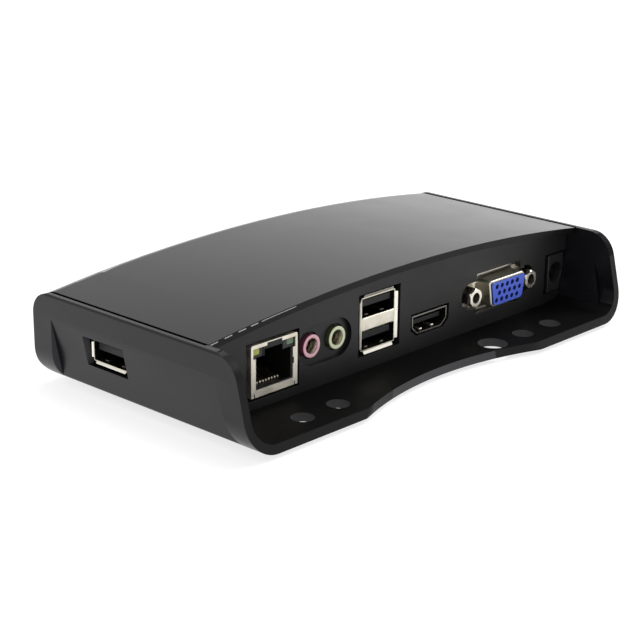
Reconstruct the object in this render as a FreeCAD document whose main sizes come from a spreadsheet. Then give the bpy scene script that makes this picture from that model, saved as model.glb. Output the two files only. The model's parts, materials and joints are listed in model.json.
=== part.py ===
import FreeCAD, Part
import Sketcher
import math
import os
import re

# A small thin client: a low black box with an arched cover, open behind as a cable bay.
# +X is the end that carries the side socket, +Y the side with the socket row, +Z up.
# The origin is the middle of the footprint, on the surface that the rubber feet stand on.

V = FreeCAD.Vector
doc = FreeCAD.newDocument("ThinClient")
sheet = doc.addObject("Spreadsheet::Sheet", "Sizes")

# Sizes in millimetres. Heights are above the underside of the tray unless said otherwise.
SIZES = [
    ("body_width", 150, "tray, end to end"),
    ("body_depth", 79, "tray, front to the edge of the rear lip"),
    ("end_height", 24.1, "top of the side walls"),
    ("arch_rise", 4.7, "rise of the cover over its ends"),
    ("foot_height", 1.2, "rubber feet below the tray"),
    ("wall", 2.3, "tray walls"),
    ("floor_thick", 2.3, "tray floor and rear lip"),
    ("belly_radius", 9, "long rounding where the ends turn under"),
    ("front_radius", 6, "rounding of the front, top and bottom"),
    ("rear_radius", 8, "rounding at the top of the slanting rear rim"),
    ("rear_setback", 5.8, "how far the rear rim leans forward"),
    ("rim_round", 0.7, "outer edge of the side wall tops"),
    ("bay_depth", 19.5, "socket faces to the edge of the lip"),
    ("fit_gap", 0.2, "clearance between fitted pieces"),
    ("tuck_rate", 0.2, "slope of the tucked-in end panel"),
    ("tuck_height", 18, "where the end panel meets the upright wall"),
    ("tuck_front", 7.2, "plain border in front of the end panel"),
    ("tuck_rear", 12.4, "plain border behind the end panel, at its top"),
    ("tuck_rear_low", 5.7, "plain border behind the end panel, at the underside"),
    ("tuck_wall", 1.96, "wall behind the end panel, along X"),
    ("tuck_lag", 2.0, "wall at the two ends of the end panel, along Y"),
    ("front_sill", 7, "top of the low front wall"),
    ("bezel_top", 17, "top of the front bezel"),
    ("bezel_thick", 1.8, "front bezel"),
    ("bezel_inset", 0.3, "front bezel behind the front face"),
    ("cover_thick", 1.8, "top cover"),
    ("cover_gap", 0.4, "seam between cover and side walls"),
    ("cover_overhang", 3.0, "cover past the socket faces"),
    ("skirt_low", 17.2, "lower edge of the cover's skirt"),
    ("panel_thick", 1.8, "rear panel"),
    ("panel_proud", 0.2, "rear panel past the socket faces"),
    ("lip_cut_width", 71, "arc cut into the lip, along the edge"),
    ("lip_cut_depth", 6.7, "arc cut into the lip, deepest"),
    ("lip_cut_round", 4, "rounding of the arc's two corners"),
    ("mount_wide", 100, "outer pair of mounting holes"),
    ("mount_narrow", 75, "inner pair of mounting holes"),
    ("mount_radius", 3, "mounting holes"),
    ("mount_edge", 7.8, "mounting holes to the edge of the lip"),
    ("tie_hole_place", 25, "cable tie hole, off the middle"),
    ("tie_hole_edge", 8.6, "cable tie hole to the edge of the lip"),
    ("tie_hole_radius", 4.1, "cable tie hole"),
    ("foot_radius", 4.5, "rubber feet, where they are glued on"),
    ("foot_tread", 4.1, "rubber feet, where they stand"),
    ("foot_front_pitch", 100, "front feet apart"),
    ("foot_rear_pitch", 116, "rear feet apart"),
    ("foot_front_edge", 11, "front feet to the front face"),
    ("foot_rear_edge", 16, "rear feet to the edge of the lip"),
    ("post_pitch", 120, "screw posts apart along X"),
    ("post_front_edge", 8.7, "front screw posts to the front face"),
    ("post_rear_back", 17.6, "rear screw posts ahead of the socket faces"),
    ("post_radius", 3.5, "screw posts"),
    ("post_split", 6.2, "where tray posts and cover posts meet"),
    ("post_clear", 0.5, "board hole around a screw post"),
    ("screw_radius", 1.3, "case screw shank"),
    ("screw_reach", 14, "tip of the case screws"),
    ("screw_head_radius", 2.5, "case screw head"),
    ("screw_head_height", 1.6, "case screw head"),
    ("screw_head_sunk", 0.3, "case screw head above the underside"),
    ("screw_play", 0.05, "case screw shank in the cover post"),
    ("boss_height", 1.3, "bosses that carry the board"),
    ("boss_radius", 3, "bosses that carry the board"),
    ("board_thick", 1.6, "main board"),
    ("board_side_gap", 4.3, "board edge to the upright part of the end wall"),
    ("board_front_gap", 4, "board edge to the front face"),
    ("board_screw_radius", 1.0, "board screw shank"),
    ("board_screw_head", 2.4, "board screw head radius"),
    ("board_screw_cap", 1.5, "board screw head height"),
    ("board_screw_end", 0.9, "board screw tip above the underside"),
    ("board_screw_wide", 80, "front board screws apart"),
    ("board_screw_near", 60, "rear board screws apart"),
    ("board_screw_front", 8, "front board screws to the front face"),
    ("board_screw_back", 25.5, "rear board screws ahead of the socket faces"),
    ("button_place", 50, "power button, off the middle"),
    ("light_place", 31, "status light, off the middle"),
    ("front_row", 12.2, "power button and status light"),
    ("button_radius", 4.5, "power button cap"),
    ("button_proud", 0.3, "power button past the front bezel"),
    ("button_play", 0.25, "power button in the bezel"),
    ("flange_radius", 5.0, "flange that holds the button in"),
    ("flange_thick", 0.8, "flange that holds the button in"),
    ("flange_gap", 0.3, "flange behind the bezel at rest"),
    ("stem_radius", 1.5, "button stem and switch plunger"),
    ("switch_width", 7, "power switch body"),
    ("switch_depth", 6.5, "power switch body"),
    ("switch_height", 9.5, "power switch body"),
    ("switch_edge", 6.5, "power switch body to the front face"),
    ("plunger_in", 1.2, "plunger inside the switch at rest"),
    ("plunger_out", 1.0, "plunger outside the switch at rest"),
    ("plunger_room", 1.0, "free bore behind the plunger"),
    ("plunger_play", 0.25, "plunger in its bore"),
    ("pipe_radius", 1.2, "light pipe"),
    ("pipe_flange", 1.9, "light pipe flange radius"),
    ("pipe_play", 0.05, "light pipe in the bezel"),
    ("pipe_flange_thick", 0.8, "light pipe flange"),
    ("led_edge", 5, "status light holder to the front face"),
    ("led_width", 4, "status light holder"),
    ("led_depth", 4.5, "status light holder"),
    ("led_height", 8.7, "status light holder"),
    ("network_place", 47.8, "network socket, off the middle"),
    ("network_width", 16, "network socket"),
    ("network_height", 13.5, "network socket"),
    ("network_depth", 18, "network socket"),
    ("shield_thick", 0.4, "sheet of the network socket's shield"),
    ("network_mouth_width", 12.8, "opening in the shield"),
    ("network_mouth_low", 1.8, "opening in the shield, above the board"),
    ("network_mouth_height", 10.7, "opening in the shield"),
    ("plug_width", 11.8, "plug room"),
    ("plug_height", 8, "plug room"),
    ("plug_low", 2.0, "plug room, above the board"),
    ("plug_depth", 13.5, "plug room"),
    ("latch_width", 6.2, "slot for the plug's latch"),
    ("latch_height", 1.6, "slot for the plug's latch"),
    ("lamp_width", 3.8, "link lights"),
    ("lamp_height", 2.5, "link lights"),
    ("lamp_depth", 4, "link lights"),
    ("lamp_out", 0.85, "link lights, past the sides of the opening"),
    ("lamp_back", 0.5, "link lights behind the shield's face"),
    ("pin_pitch", 1.02, "network contacts"),
    ("pin_width", 0.55, "network contacts"),
    ("pin_thick", 0.35, "network contacts"),
    ("pin_rise", 3.2, "network contacts, where they leave at the back"),
    ("pin_foot", 2.5, "network contacts, from the socket face"),
    ("pin_bend", 2.5, "network contacts, level part at the back"),
    ("network_left", 1.8, "panel opening past the socket, +X side"),
    ("network_right", 0.4, "panel opening past the socket, -X side"),
    ("network_over", 0.9, "panel opening over the socket"),
    ("network_under", 0.6, "panel opening under the socket"),
    ("audio_place", 30.15, "middle of the audio pair"),
    ("audio_pitch", 9.3, "audio pair"),
    ("audio_up", 8.45, "audio pair, above the board"),
    ("collar_radius", 3.25, "coloured collars"),
    ("sleeve_radius", 2.5, "metal sleeves"),
    ("jack_radius", 1.8, "bore of the audio sockets"),
    ("jack_depth", 14, "bore of the audio sockets"),
    ("audio_width", 7.4, "audio socket bodies"),
    ("audio_depth", 14.5, "audio socket bodies"),
    ("audio_hole", 3.5, "panel holes for the collars"),
    ("audio_recess", 1.2, "recess round both audio sockets"),
    ("audio_recess_radius", 5.2, "recess round both audio sockets"),
    ("twin_place", 9.55, "twin socket stack"),
    ("twin_width", 13.1, "twin socket stack"),
    ("twin_height", 16.7, "twin socket stack"),
    ("twin_depth", 17.5, "twin socket stack"),
    ("twin_frame_width", 15.0, "flared frame of the stack"),
    ("twin_frame_height", 15.7, "flared frame of the stack"),
    ("twin_frame_up", 1.4, "flared frame above the board"),
    ("twin_frame_thick", 0.6, "flared frame"),
    ("data_width", 12.5, "opening of a data socket"),
    ("data_height", 5.12, "opening of a data socket"),
    ("data_depth", 15.5, "opening of a data socket"),
    ("data_low", 2.28, "lower data opening, above the board"),
    ("data_web", 3.66, "plate between the two data openings"),
    ("data_gap", 0.55, "panel opening round the stack"),
    ("tongue_width", 11.1, "tongue of a data socket"),
    ("tongue_thick", 1.84, "tongue of a data socket"),
    ("tongue_top", 0.6, "tongue below the top of its opening"),
    ("tongue_back", 1.2, "tongue behind the face"),
    ("strip_thick", 0.25, "contact strips"),
    ("digital_place", 11, "digital video socket, off the middle"),
    ("digital_up", 4.5, "digital video socket, above the board"),
    ("digital_width", 15, "digital video socket"),
    ("digital_height", 5.55, "digital video socket"),
    ("digital_foot", 10.6, "digital video socket, along its lower side"),
    ("digital_bend", 1.9, "height of its slanting corners"),
    ("digital_sheet", 0.4, "sheet of the digital video socket"),
    ("digital_depth", 11, "digital video socket"),
    ("digital_gap", 0.4, "panel opening round it"),
    ("analog_place", 40.7, "analog video socket, off the middle"),
    ("analog_up", 7.2, "analog video socket, above the board"),
    ("analog_flange_width", 30.8, "flange"),
    ("analog_flange_height", 12.5, "flange"),
    ("analog_flange_thick", 0.8, "flange"),
    ("analog_flange_back", 2.2, "flange face behind the socket faces"),
    ("analog_nut_pitch", 24.99, "jackscrew nuts"),
    ("analog_nut_flats", 5.0, "jackscrew nuts across flats"),
    ("analog_nut_length", 4.4, "jackscrew nuts"),
    ("analog_thread", 1.35, "jackscrew thread radius"),
    ("analog_shell_width", 16.3, "shell, outside"),
    ("analog_shell_height", 7.8, "shell, outside"),
    ("analog_shell_lean", 1.3, "how far the shell narrows downwards, each side"),
    ("analog_shell_sheet", 0.5, "shell"),
    ("analog_shell_round", 1.4, "shell corners"),
    ("analog_shell_proud", 3.2, "shell past the socket faces"),
    ("analog_flare", 1.2, "flare at the root of the shell"),
    ("analog_insert_proud", 0.5, "insert past the shell's edge"),
    ("analog_hole_radius", 0.5, "contact holes"),
    ("analog_hole_pitch", 2.29, "contact holes along a row"),
    ("analog_row_pitch", 1.98, "rows of contact holes"),
    ("analog_pin_radius", 0.42, "contacts"),
    ("analog_pin_back", 0.7, "contacts behind the insert's face"),
    ("analog_body_depth", 11.5, "socket body behind the flange"),
    ("analog_body_width", 19.6, "socket body behind the flange"),
    ("analog_cut_width", 19.6, "panel opening, shell"),
    ("analog_cut_height", 11.6, "panel opening, shell"),
    ("analog_cut_radius", 3.8, "panel opening, nuts"),
    ("inlet_side", 6.9, "power inlet axis to the end of the tray"),
    ("inlet_up", 5.8, "power inlet axis above the board"),
    ("inlet_width", 7.2, "power inlet"),
    ("inlet_height", 11.2, "power inlet"),
    ("inlet_depth", 13.5, "power inlet"),
    ("inlet_bore", 2.9, "power inlet bore"),
    ("inlet_bore_depth", 9.5, "power inlet bore"),
    ("inlet_pin", 1.0, "centre pin"),
    ("inlet_pin_back", 1.2, "centre pin behind the face"),
    ("inlet_window", 2.0, "panel opening beside the inlet"),
    ("side_port_ahead", 32.7, "side socket axis ahead of the socket faces"),
    ("side_port_up", 7.1, "side socket axis above the board"),
    ("side_port_back", 2.6, "side socket face behind the end of the tray"),
    ("side_port_depth", 14, "side socket"),
    ("side_port_height", 5.7, "side socket"),
    ("side_port_sheet", 0.3, "side socket shell"),
    ("side_port_gap", 1.1, "wall opening round the side socket"),
    ("chip_side", 15, "processor"),
    ("chip_height", 1.2, "processor"),
    ("pad_side", 14, "thermal pad"),
    ("pad_height", 0.5, "thermal pad"),
    ("sink_side", 28, "heat sink"),
    ("sink_base", 2.2, "heat sink base"),
    ("sink_height", 10.1, "heat sink"),
    ("fin_thick", 1.1, "heat sink fins"),
    ("fin_pitch", 3.84, "heat sink fins"),
    ("chip_place", 5, "processor, off the middle"),
    ("memory_width", 11, "memory chips"),
    ("memory_length", 12, "memory chips"),
    ("memory_height", 1.1, "memory chips"),
    ("transformer_width", 13, "network transformer"),
    ("transformer_length", 16, "network transformer"),
    ("transformer_height", 5.5, "network transformer"),
    ("transformer_back", 22.5, "network transformer ahead of the socket faces"),
    ("cap_radius", 3.15, "capacitors"),
    ("cap_height", 7, "capacitors"),
    ("coil_side", 7, "power inductors"),
    ("coil_height", 4, "power inductors"),
    ("crystal_length", 8, "crystals"),
    ("crystal_width", 4.5, "crystals"),
    ("crystal_height", 3.6, "crystals"),
    ("small_chip_height", 1.1, "flash and control chips"),
    ("flash_width", 8, "flash chip"),
    ("flash_length", 5.3, "flash chip"),
    ("control_side", 6, "control chips"),
    ("memory_aside", 9, "memory chips beside the heat sink"),
    ("memory_rear", 7.5, "rear memory chip behind the processor"),
    ("memory_front", 5.5, "front memory chip ahead of the processor"),
    ("flash_aside", 11, "flash chip beside the heat sink"),
    ("flash_rear", 1, "flash chip behind the processor"),
    ("video_chip_place", 46.5, "video control chip, off the middle"),
    ("coil_place", 40, "inner power inductor, off the middle"),
    ("power_row_back", 22, "video control chip and inner inductor ahead of the sockets"),
    ("audio_chip_place", 32, "audio control chip, off the middle"),
    ("audio_chip_front", 4, "audio control chip ahead of the processor"),
    ("clock_chip_place", 27, "clock chip, off the middle"),
    ("clock_chip_front", 5, "clock chip ahead of the processor"),
    ("port_chip_place", 50, "port control chip, off the middle"),
    ("port_chip_front", 11.5, "port control chip ahead of the processor"),
    ("crystal_edge", 7.5, "crystals to the front face"),
    ("crystal_near", 23.3, "one crystal, off the middle"),
    ("crystal_far", 28.5, "other crystal, off the middle"),
    ("coil_column", 7.2, "outer inductor to the board's side edge"),
    ("coil_front", 0.5, "outer inductor ahead of the processor"),
    ("cap_column", 15.4, "inner capacitors to the board's side edge"),
    ("cap_rear", 5.6, "rear inner capacitor behind the processor"),
    ("cap_front", 1.2, "front inner capacitor ahead of the processor"),
    ("cap_outer_rear", 6.5, "outer capacitor behind the processor"),
    ("transformer_shift", 4.5, "network transformer off the socket's middle"),
    ("strip_width", 1.1, "contact strips of the data sockets"),
    ("strip_near", 1.0, "inner contact strips, off the middle"),
    ("strip_far", 3.5, "outer contact strips, off the middle"),
]

for row, (alias, value, note) in enumerate(SIZES, start=1):
    sheet.set("A%d" % row, alias)
    sheet.set("B%d" % row, str(value))
    sheet.set("C%d" % row, note)
    sheet.setAlias("B%d" % row, alias)
doc.recompute()


class Row:
    """The sheet's values, by name, for outlines that are worked out here."""


v = Row()
for alias, value, note in SIZES:
    setattr(v, alias, float(sheet.get(alias)))
ALIASES = set(alias for alias, value, note in SIZES)

# Planes that several pieces share, as expressions of the sheet.
FRONT = "(-body_depth / 2)"
EDGE = "(body_depth / 2)"
FACE = "(body_depth / 2 - bay_depth)"
INNER = "(body_width / 2 - wall)"
BOARD = "(floor_thick + boss_height + board_thick)"
PANEL = "(body_depth / 2 - bay_depth + panel_proud - panel_thick)"
PANEL_OUT = "(body_depth / 2 - bay_depth + panel_proud)"
BEZEL_BACK = "(-body_depth / 2 + bezel_inset + bezel_thick)"

# The same planes as numbers, for outlines.
half = v.body_width / 2
front = -v.body_depth / 2
edge = v.body_depth / 2
board = v.floor_thick + v.boss_height + v.board_thick
cover_half = half - v.wall - v.cover_gap
arch_radius = (cover_half ** 2 + v.arch_rise ** 2) / (2 * v.arch_rise)
arch_centre = v.end_height + v.arch_rise - arch_radius

NODES = {}


def bind(obj, prop, text):
    def named(match):
        word = match.group(0)
        return "Sizes." + word if word in ALIASES else word
    obj.setExpression(prop, re.sub(r"[a-z][a-z_]*", named, text))


def place(obj, x, y, z):
    bind(obj, "Placement.Base.x", x)
    bind(obj, "Placement.Base.y", y)
    bind(obj, "Placement.Base.z", "foot_height + " + z)
    return obj


def block(name, x, y, z):
    """A box from three (from, to) pairs."""
    obj = doc.addObject("Part::Box", name)
    bind(obj, "Length", "(%s) - (%s)" % (x[1], x[0]))
    bind(obj, "Width", "(%s) - (%s)" % (y[1], y[0]))
    bind(obj, "Height", "(%s) - (%s)" % (z[1], z[0]))
    return place(obj, x[0], y[0], "(%s)" % z[0])


def around(middle, width):
    return ("%s - (%s) / 2" % (middle, width), "%s + (%s) / 2" % (middle, width))


TURNS = {
    "x": FreeCAD.Rotation(V(0, 1, 0), 90),
    "y": FreeCAD.Rotation(V(1, 0, 0), -90),
    "z": FreeCAD.Rotation(),
}


def rod(name, radius, x, y, z):
    """A cylinder along the one axis whose place is a (from, to) pair."""
    obj = doc.addObject("Part::Cylinder", name)
    axis = [k for k, p in zip("xyz", (x, y, z)) if isinstance(p, tuple)][0]
    span = {"x": x, "y": y, "z": z}[axis]
    start = [p[0] if isinstance(p, tuple) else p for p in (x, y, z)]
    obj.Placement = FreeCAD.Placement(V(), TURNS[axis])
    bind(obj, "Radius", radius)
    bind(obj, "Height", "(%s) - (%s)" % (span[1], span[0]))
    return place(obj, start[0], start[1], "(%s)" % start[2])


def fuse(name, parts):
    if len(parts) == 1:
        return parts[0]
    obj = doc.addObject("Part::MultiFuse", name)
    obj.Shapes = parts
    return obj


def cut(name, base, tools):
    obj = doc.addObject("Part::Cut", name)
    obj.Base = base
    obj.Tool = fuse(name + "_tools", tools)
    return obj


def common(name, parts):
    obj = doc.addObject("Part::MultiCommon", name)
    obj.Shapes = parts
    return obj


def group(name, parts):
    if len(parts) == 1:
        return parts[0]
    obj = doc.addObject("Part::Compound", name)
    obj.Links = parts
    return obj


def turn_of(cx, cz, radius, middle, end):
    """The middle and the end of an arc, for the outlines below."""
    a = math.radians(middle)
    b = math.radians(end)
    return (cx + radius * math.cos(a), cz + radius * math.sin(a),
            cx + radius * math.cos(b), cz + radius * math.sin(b))


NORMAL = {"XY_Plane": "z", "XZ_Plane": "y", "YZ_Plane": "x"}


def prism(name, plane, outline, span):
    """A padded sketch. The outline starts at its first point; (x, z) is a line to that
    point and (xm, zm, x, z) an arc through the first pair. span is (from, to)."""
    body = doc.addObject("PartDesign::Body", name)
    sketch = body.newObject("Sketcher::SketchObject", name + "_outline")
    flat = [o for o in body.Origin.OriginFeatures if o.Role == plane][0]
    sketch.AttachmentSupport = [(flat, "")]
    sketch.MapMode = "FlatFace"
    here = V(outline[0][0], outline[0][1], 0)
    pieces = []
    for step in outline[1:] + [outline[0]]:
        there = V(step[-2], step[-1], 0)
        if (there - here).Length < 1e-7:
            continue
        if len(step) == 4:
            pieces.append(Part.Arc(here, V(step[0], step[1], 0), there))
        else:
            pieces.append(Part.LineSegment(here, there))
        here = there
    sketch.addGeometry(pieces, False)
    for number in range(len(pieces)):
        sketch.addConstraint(Sketcher.Constraint("Block", number))
    pad = body.newObject("PartDesign::Pad", name + "_pad")
    pad.Profile = sketch
    pad.SideType = "Symmetric"
    bind(pad, "Length", "(%s) - (%s)" % (span[1], span[0]))
    middle = "((%s) + (%s)) / 2" % (span[0], span[1])
    at = {"x": "0", "y": "0", "z": "0"}
    at[NORMAL[plane]] = middle
    return place(body, at["x"], at["y"], at["z"])


def fillet(name, base, radius, wanted):
    """A fillet on the edges of base for which wanted(edge) holds."""
    doc.recompute()
    chosen = [n for n, e in enumerate(base.Shape.Edges, start=1) if wanted(e)]
    if not chosen:
        raise RuntimeError(name + ": no edge found")
    obj = doc.addObject("Part::Fillet", name)
    obj.Base = base
    obj.Edges = [(n, radius, radius) for n in chosen]
    return obj


def node(label, obj):
    obj.Label = label
    NODES[label] = obj
    return obj


# Outlines of the tray.

def end_outline(inset, low, radius, top, rounding):
    """The tray seen from the rear: floor, belly corners and upright walls."""
    side = half - inset
    turn = half - v.belly_radius
    path = [(-turn, low), (turn, low)]
    path.append(turn_of(turn, v.belly_radius, radius, -45, 0))
    path.append((side, top - rounding))
    if rounding > 0:
        path.append(turn_of(side - rounding, top - rounding, rounding, 45, 90))
    path.append((-side + rounding, top))
    if rounding > 0:
        path.append(turn_of(-side + rounding, top - rounding, rounding, 135, 180))
    path.append((-side, v.belly_radius))
    path.append(turn_of(-turn, v.belly_radius, radius, 225, 270))
    return path


def side_outline():
    """The tray seen from its end: rounded front, slanting rear rim."""
    r = v.front_radius
    q = v.rear_radius
    top = v.end_height
    lean = math.hypot(v.rear_setback, top)
    cy = edge - (q * lean + v.rear_setback * (top - q)) / top
    cz = top - q
    ty, tz = top / lean, v.rear_setback / lean
    my, mz = ty, tz + 1
    size = math.hypot(my, mz)
    path = [(front + r, 0), (edge, 0), (cy + q * ty, cz + q * tz)]
    path.append((cy + q * my / size, cz + q * mz / size, cy, top))
    path.append((front + r, top))
    path.append(turn_of(front + r, top - r, r, 135, 180))
    path.append((front, r))
    path.append(turn_of(front + r, r, r, 225, 270))
    return path


def cavity_side_outline():
    r = max(v.front_radius - v.wall, 0.5)
    y = front + v.wall
    top = v.end_height + 10
    path = [(y + r, v.floor_thick), (edge + 10, v.floor_thick), (edge + 10, top), (y, top)]
    path.append((y, v.floor_thick + r))
    path.append(turn_of(y + r, v.floor_thick + r, r, 225, 270))
    return path


def tuck_face(z):
    """Where the tucked-in end panel is, at a height."""
    return half - v.tuck_rate * (v.tuck_height - z)


def tuck_tool(name, side, inset, lag, top):
    """A wedge outside the end panel, or outside a plane inset from it."""
    low = -2.0
    reach = half + 6
    at_low = tuck_face(low) - inset
    at_top = tuck_face(top) - inset
    section = [(side * at_low, low), (side * at_top, top), (side * reach, top), (side * reach, low)]
    y0 = front + v.tuck_front - lag
    y1 = edge - v.tuck_rear + lag
    y2 = edge - v.tuck_rear_low + lag
    slope = (y2 - y1) / v.tuck_height
    side_view = [(y0, low), (y2 - slope * low, low), (y1 - slope * (top - v.tuck_height), top), (y0, top)]
    along = prism(name + "_section", "XZ_Plane", section, (FRONT + " - 5", EDGE + " + 5"))
    across = prism(name + "_side", "YZ_Plane", side_view, ("-body_width", "body_width"))
    return common(name, [along, across])


def arch_outline(reach, low, drop):
    """Under an arch that lies drop below the cover's top face."""
    radius = arch_radius - drop
    end = arch_centre + math.sqrt(radius ** 2 - reach ** 2)
    crown = arch_centre + radius
    return [(-reach, low), (reach, low), (reach, end), (0, crown, -reach, end)]


# Tray

outer = common("tray_outer", [
    prism("tray_end_form", "XZ_Plane", end_outline(0, 0, v.belly_radius, v.end_height, v.rim_round),
          (FRONT + " - 5", EDGE + " + 5")),
    prism("tray_side_form", "YZ_Plane", side_outline(), ("-body_width", "body_width")),
])
inner_radius = v.belly_radius - v.wall
cavity = common("tray_cavity", [
    prism("cavity_end_form", "XZ_Plane",
          end_outline(v.wall, v.floor_thick, inner_radius, v.end_height + 12, 0),
          (FRONT + " - 5", EDGE + " + 12")),
    prism("cavity_side_form", "YZ_Plane", cavity_side_outline(), ("-body_width", "body_width")),
])
fill_top = v.tuck_height + v.tuck_wall / v.tuck_rate
cavity = cut("tray_hollow", cavity, [
    tuck_tool("fill_plus", 1, v.tuck_wall, v.tuck_lag, fill_top),
    tuck_tool("fill_minus", -1, v.tuck_wall, v.tuck_lag, fill_top),
])

r = v.lip_cut_round
cut_radius = ((v.lip_cut_width / 2) ** 2 + v.lip_cut_depth ** 2) / (2 * v.lip_cut_depth)
cut_middle = edge - v.lip_cut_depth + cut_radius
corner_y = edge - r
corner_x = math.sqrt((cut_radius + r) ** 2 - (cut_middle - corner_y) ** 2)
ux = -corner_x / (cut_radius + r)
uy = (cut_middle - corner_y) / (cut_radius + r)
touch_x = corner_x + r * ux
touch_y = corner_y + r * uy
bx, by = ux, uy + 1
size = math.hypot(bx, by)
mid_x = corner_x + r * bx / size
mid_y = corner_y + r * by / size
lip_path = [
    (corner_x, edge),
    (mid_x, mid_y, touch_x, touch_y),
    (0, edge - v.lip_cut_depth, -touch_x, touch_y),
    (-mid_x, mid_y, -corner_x, edge),
    (-corner_x, edge + 5),
    (corner_x, edge + 5),
]
lip_cut = prism("lip_arc", "XY_Plane", lip_path, ("-5", "floor_thick + 5"))

THROUGH = ("-1", "floor_thick + 1")
lip_holes = []
for name, pitch in (("wide", "mount_wide"), ("narrow", "mount_narrow")):
    for side in ("", "-"):
        lip_holes.append(rod("mount_" + name + ("_minus" if side else "_plus"), "mount_radius",
                             side + pitch + " / 2", EDGE + " - mount_edge", THROUGH))
lip_holes.append(rod("tie_hole", "tie_hole_radius", "-tie_hole_place", EDGE + " - tie_hole_edge", THROUGH))

window = block("front_window", ("-" + INNER, INNER), (FRONT + " - 1", FRONT + " + wall"),
               ("front_sill", "end_height + 10"))

PORT_Y = "(" + FACE + " - side_port_ahead)"
PORT_Z = "(" + BOARD + " + side_port_up)"
port_hole = block("side_port_hole", ("body_width / 2 - 12", "body_width / 2 + 2"),
                  around(PORT_Y, "twin_width + 2 * side_port_gap"),
                  around(PORT_Z, "side_port_height + 2 * side_port_gap"))

tray = cut("tray_shell", outer, [
    cavity,
    tuck_tool("tuck_plus", 1, 0, 0, v.tuck_height),
    tuck_tool("tuck_minus", -1, 0, 0, v.tuck_height),
    lip_cut,
    window,
    port_hole,
] + lip_holes)

POSTS = []
for side in ("", "-"):
    for y in ("(" + FRONT + " + post_front_edge)", "(" + FACE + " - post_rear_back)"):
        POSTS.append((side + "post_pitch / 2", y))
BOSSES = []
for side in ("", "-"):
    BOSSES.append((side + "board_screw_wide / 2", "(" + FRONT + " + board_screw_front)"))
    BOSSES.append((side + "board_screw_near / 2", "(" + FACE + " - board_screw_back)"))

posts = []
drills = []
for number, (x, y) in enumerate(POSTS):
    posts.append(rod("tray_post_%d" % number, "post_radius", x, y, ("floor_thick / 2", "post_split")))
    drills.append(rod("tray_drill_%d" % number, "screw_radius + fit_gap", x, y, ("-1", "post_split + 1")))
    drills.append(rod("tray_sink_%d" % number, "screw_head_radius + fit_gap", x, y,
                      ("-1", "screw_head_sunk + screw_head_height")))
for number, (x, y) in enumerate(BOSSES):
    posts.append(rod("tray_boss_%d" % number, "boss_radius", x, y,
                     ("floor_thick / 2", "floor_thick + boss_height")))
    drills.append(rod("boss_drill_%d" % number, "board_screw_radius + screw_play", x, y,
                      ("board_screw_end - 0.1", "floor_thick + boss_height + 1")))
node("lower_tray", cut("lower_tray", fuse("tray_with_posts", [tray] + posts), drills))

# Top cover

COVER_REAR = "(" + FACE + " + cover_overhang)"
lid = prism("cover_block", "XZ_Plane", arch_outline(cover_half, v.skirt_low, 0), (FRONT, COVER_REAR))
room = prism("cover_room", "XZ_Plane",
             arch_outline(cover_half - v.cover_thick, v.skirt_low - 5, v.cover_thick),
             (FRONT + " + cover_thick", COVER_REAR + " + 5"))


def front_arch(e, y):
    if len(e.Vertexes) != 2:
        return False
    box = e.BoundBox
    return abs(box.YMin - y) < 1e-4 and abs(box.YMax - y) < 1e-4 and box.XLength > half and box.ZLength > 0.2


lid = fillet("cover_block_rounded", lid, v.front_radius, lambda e: front_arch(e, front))
room = fillet("cover_room_rounded", room, max(v.front_radius - v.cover_thick, 0.4),
              lambda e: front_arch(e, front + v.cover_thick))
behind = prism("cover_behind", "XZ_Plane", arch_outline(cover_half + 1, v.skirt_low - 5, v.cover_thick),
               (PANEL + " - fit_gap", COVER_REAR + " + 5"))
shell = cut("cover_shell", lid, [room, behind])
under = prism("cover_under", "XZ_Plane", arch_outline(cover_half, 0, v.cover_thick / 2), (FRONT, EDGE))
pegs = []
bores = []
for number, (x, y) in enumerate(POSTS):
    pegs.append(rod("cover_post_%d" % number, "post_radius", x, y,
                    ("post_split", "end_height + arch_rise")))
    bores.append(rod("cover_bore_%d" % number, "screw_radius + screw_play", x, y,
                     ("post_split - 1", "screw_reach + 0.5")))
pegs = common("cover_posts", [fuse("cover_pegs", pegs), under])
node("top_cover", cut("top_cover", fuse("cover_with_posts", [shell, pegs]), bores))

# Case screws, from below

screws = []
for number, (x, y) in enumerate(POSTS):
    head = rod("case_head_%d" % number, "screw_head_radius", x, y,
               ("screw_head_sunk", "screw_head_sunk + screw_head_height"))
    shank = rod("case_shank_%d" % number, "screw_radius", x, y,
                ("screw_head_sunk + screw_head_height / 2", "screw_reach"))
    slots = []
    for turn in (0, 1):
        w = "screw_head_radius * 1.1"
        n = "screw_head_radius * 0.22"
        slots.append(block("case_slot_%d_%d" % (number, turn),
                           around(x, n if turn else w), around(y, w if turn else n),
                           ("screw_head_sunk - 1", "screw_head_sunk + screw_head_height * 0.45")))
    screws.append(cut("case_screw_%d" % number, fuse("case_screw_body_%d" % number, [head, shank]), slots))
node("case_screws", group("case_screws", screws))

# Rubber feet

feet = []
for side in ("", "-"):
    for name, pitch, y in (("front", "foot_front_pitch", FRONT + " + foot_front_edge"),
                           ("rear", "foot_rear_pitch", EDGE + " - foot_rear_edge")):
        foot = doc.addObject("Part::Cone", "foot_" + name + ("_minus" if side else "_plus"))
        bind(foot, "Radius1", "foot_tread")
        bind(foot, "Radius2", "foot_radius")
        bind(foot, "Height", "foot_height")
        feet.append(place(foot, side + pitch + " / 2", y, "(-foot_height)"))
node("rubber_feet", group("rubber_feet", feet))

# Front bezel, power button and status light

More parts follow.
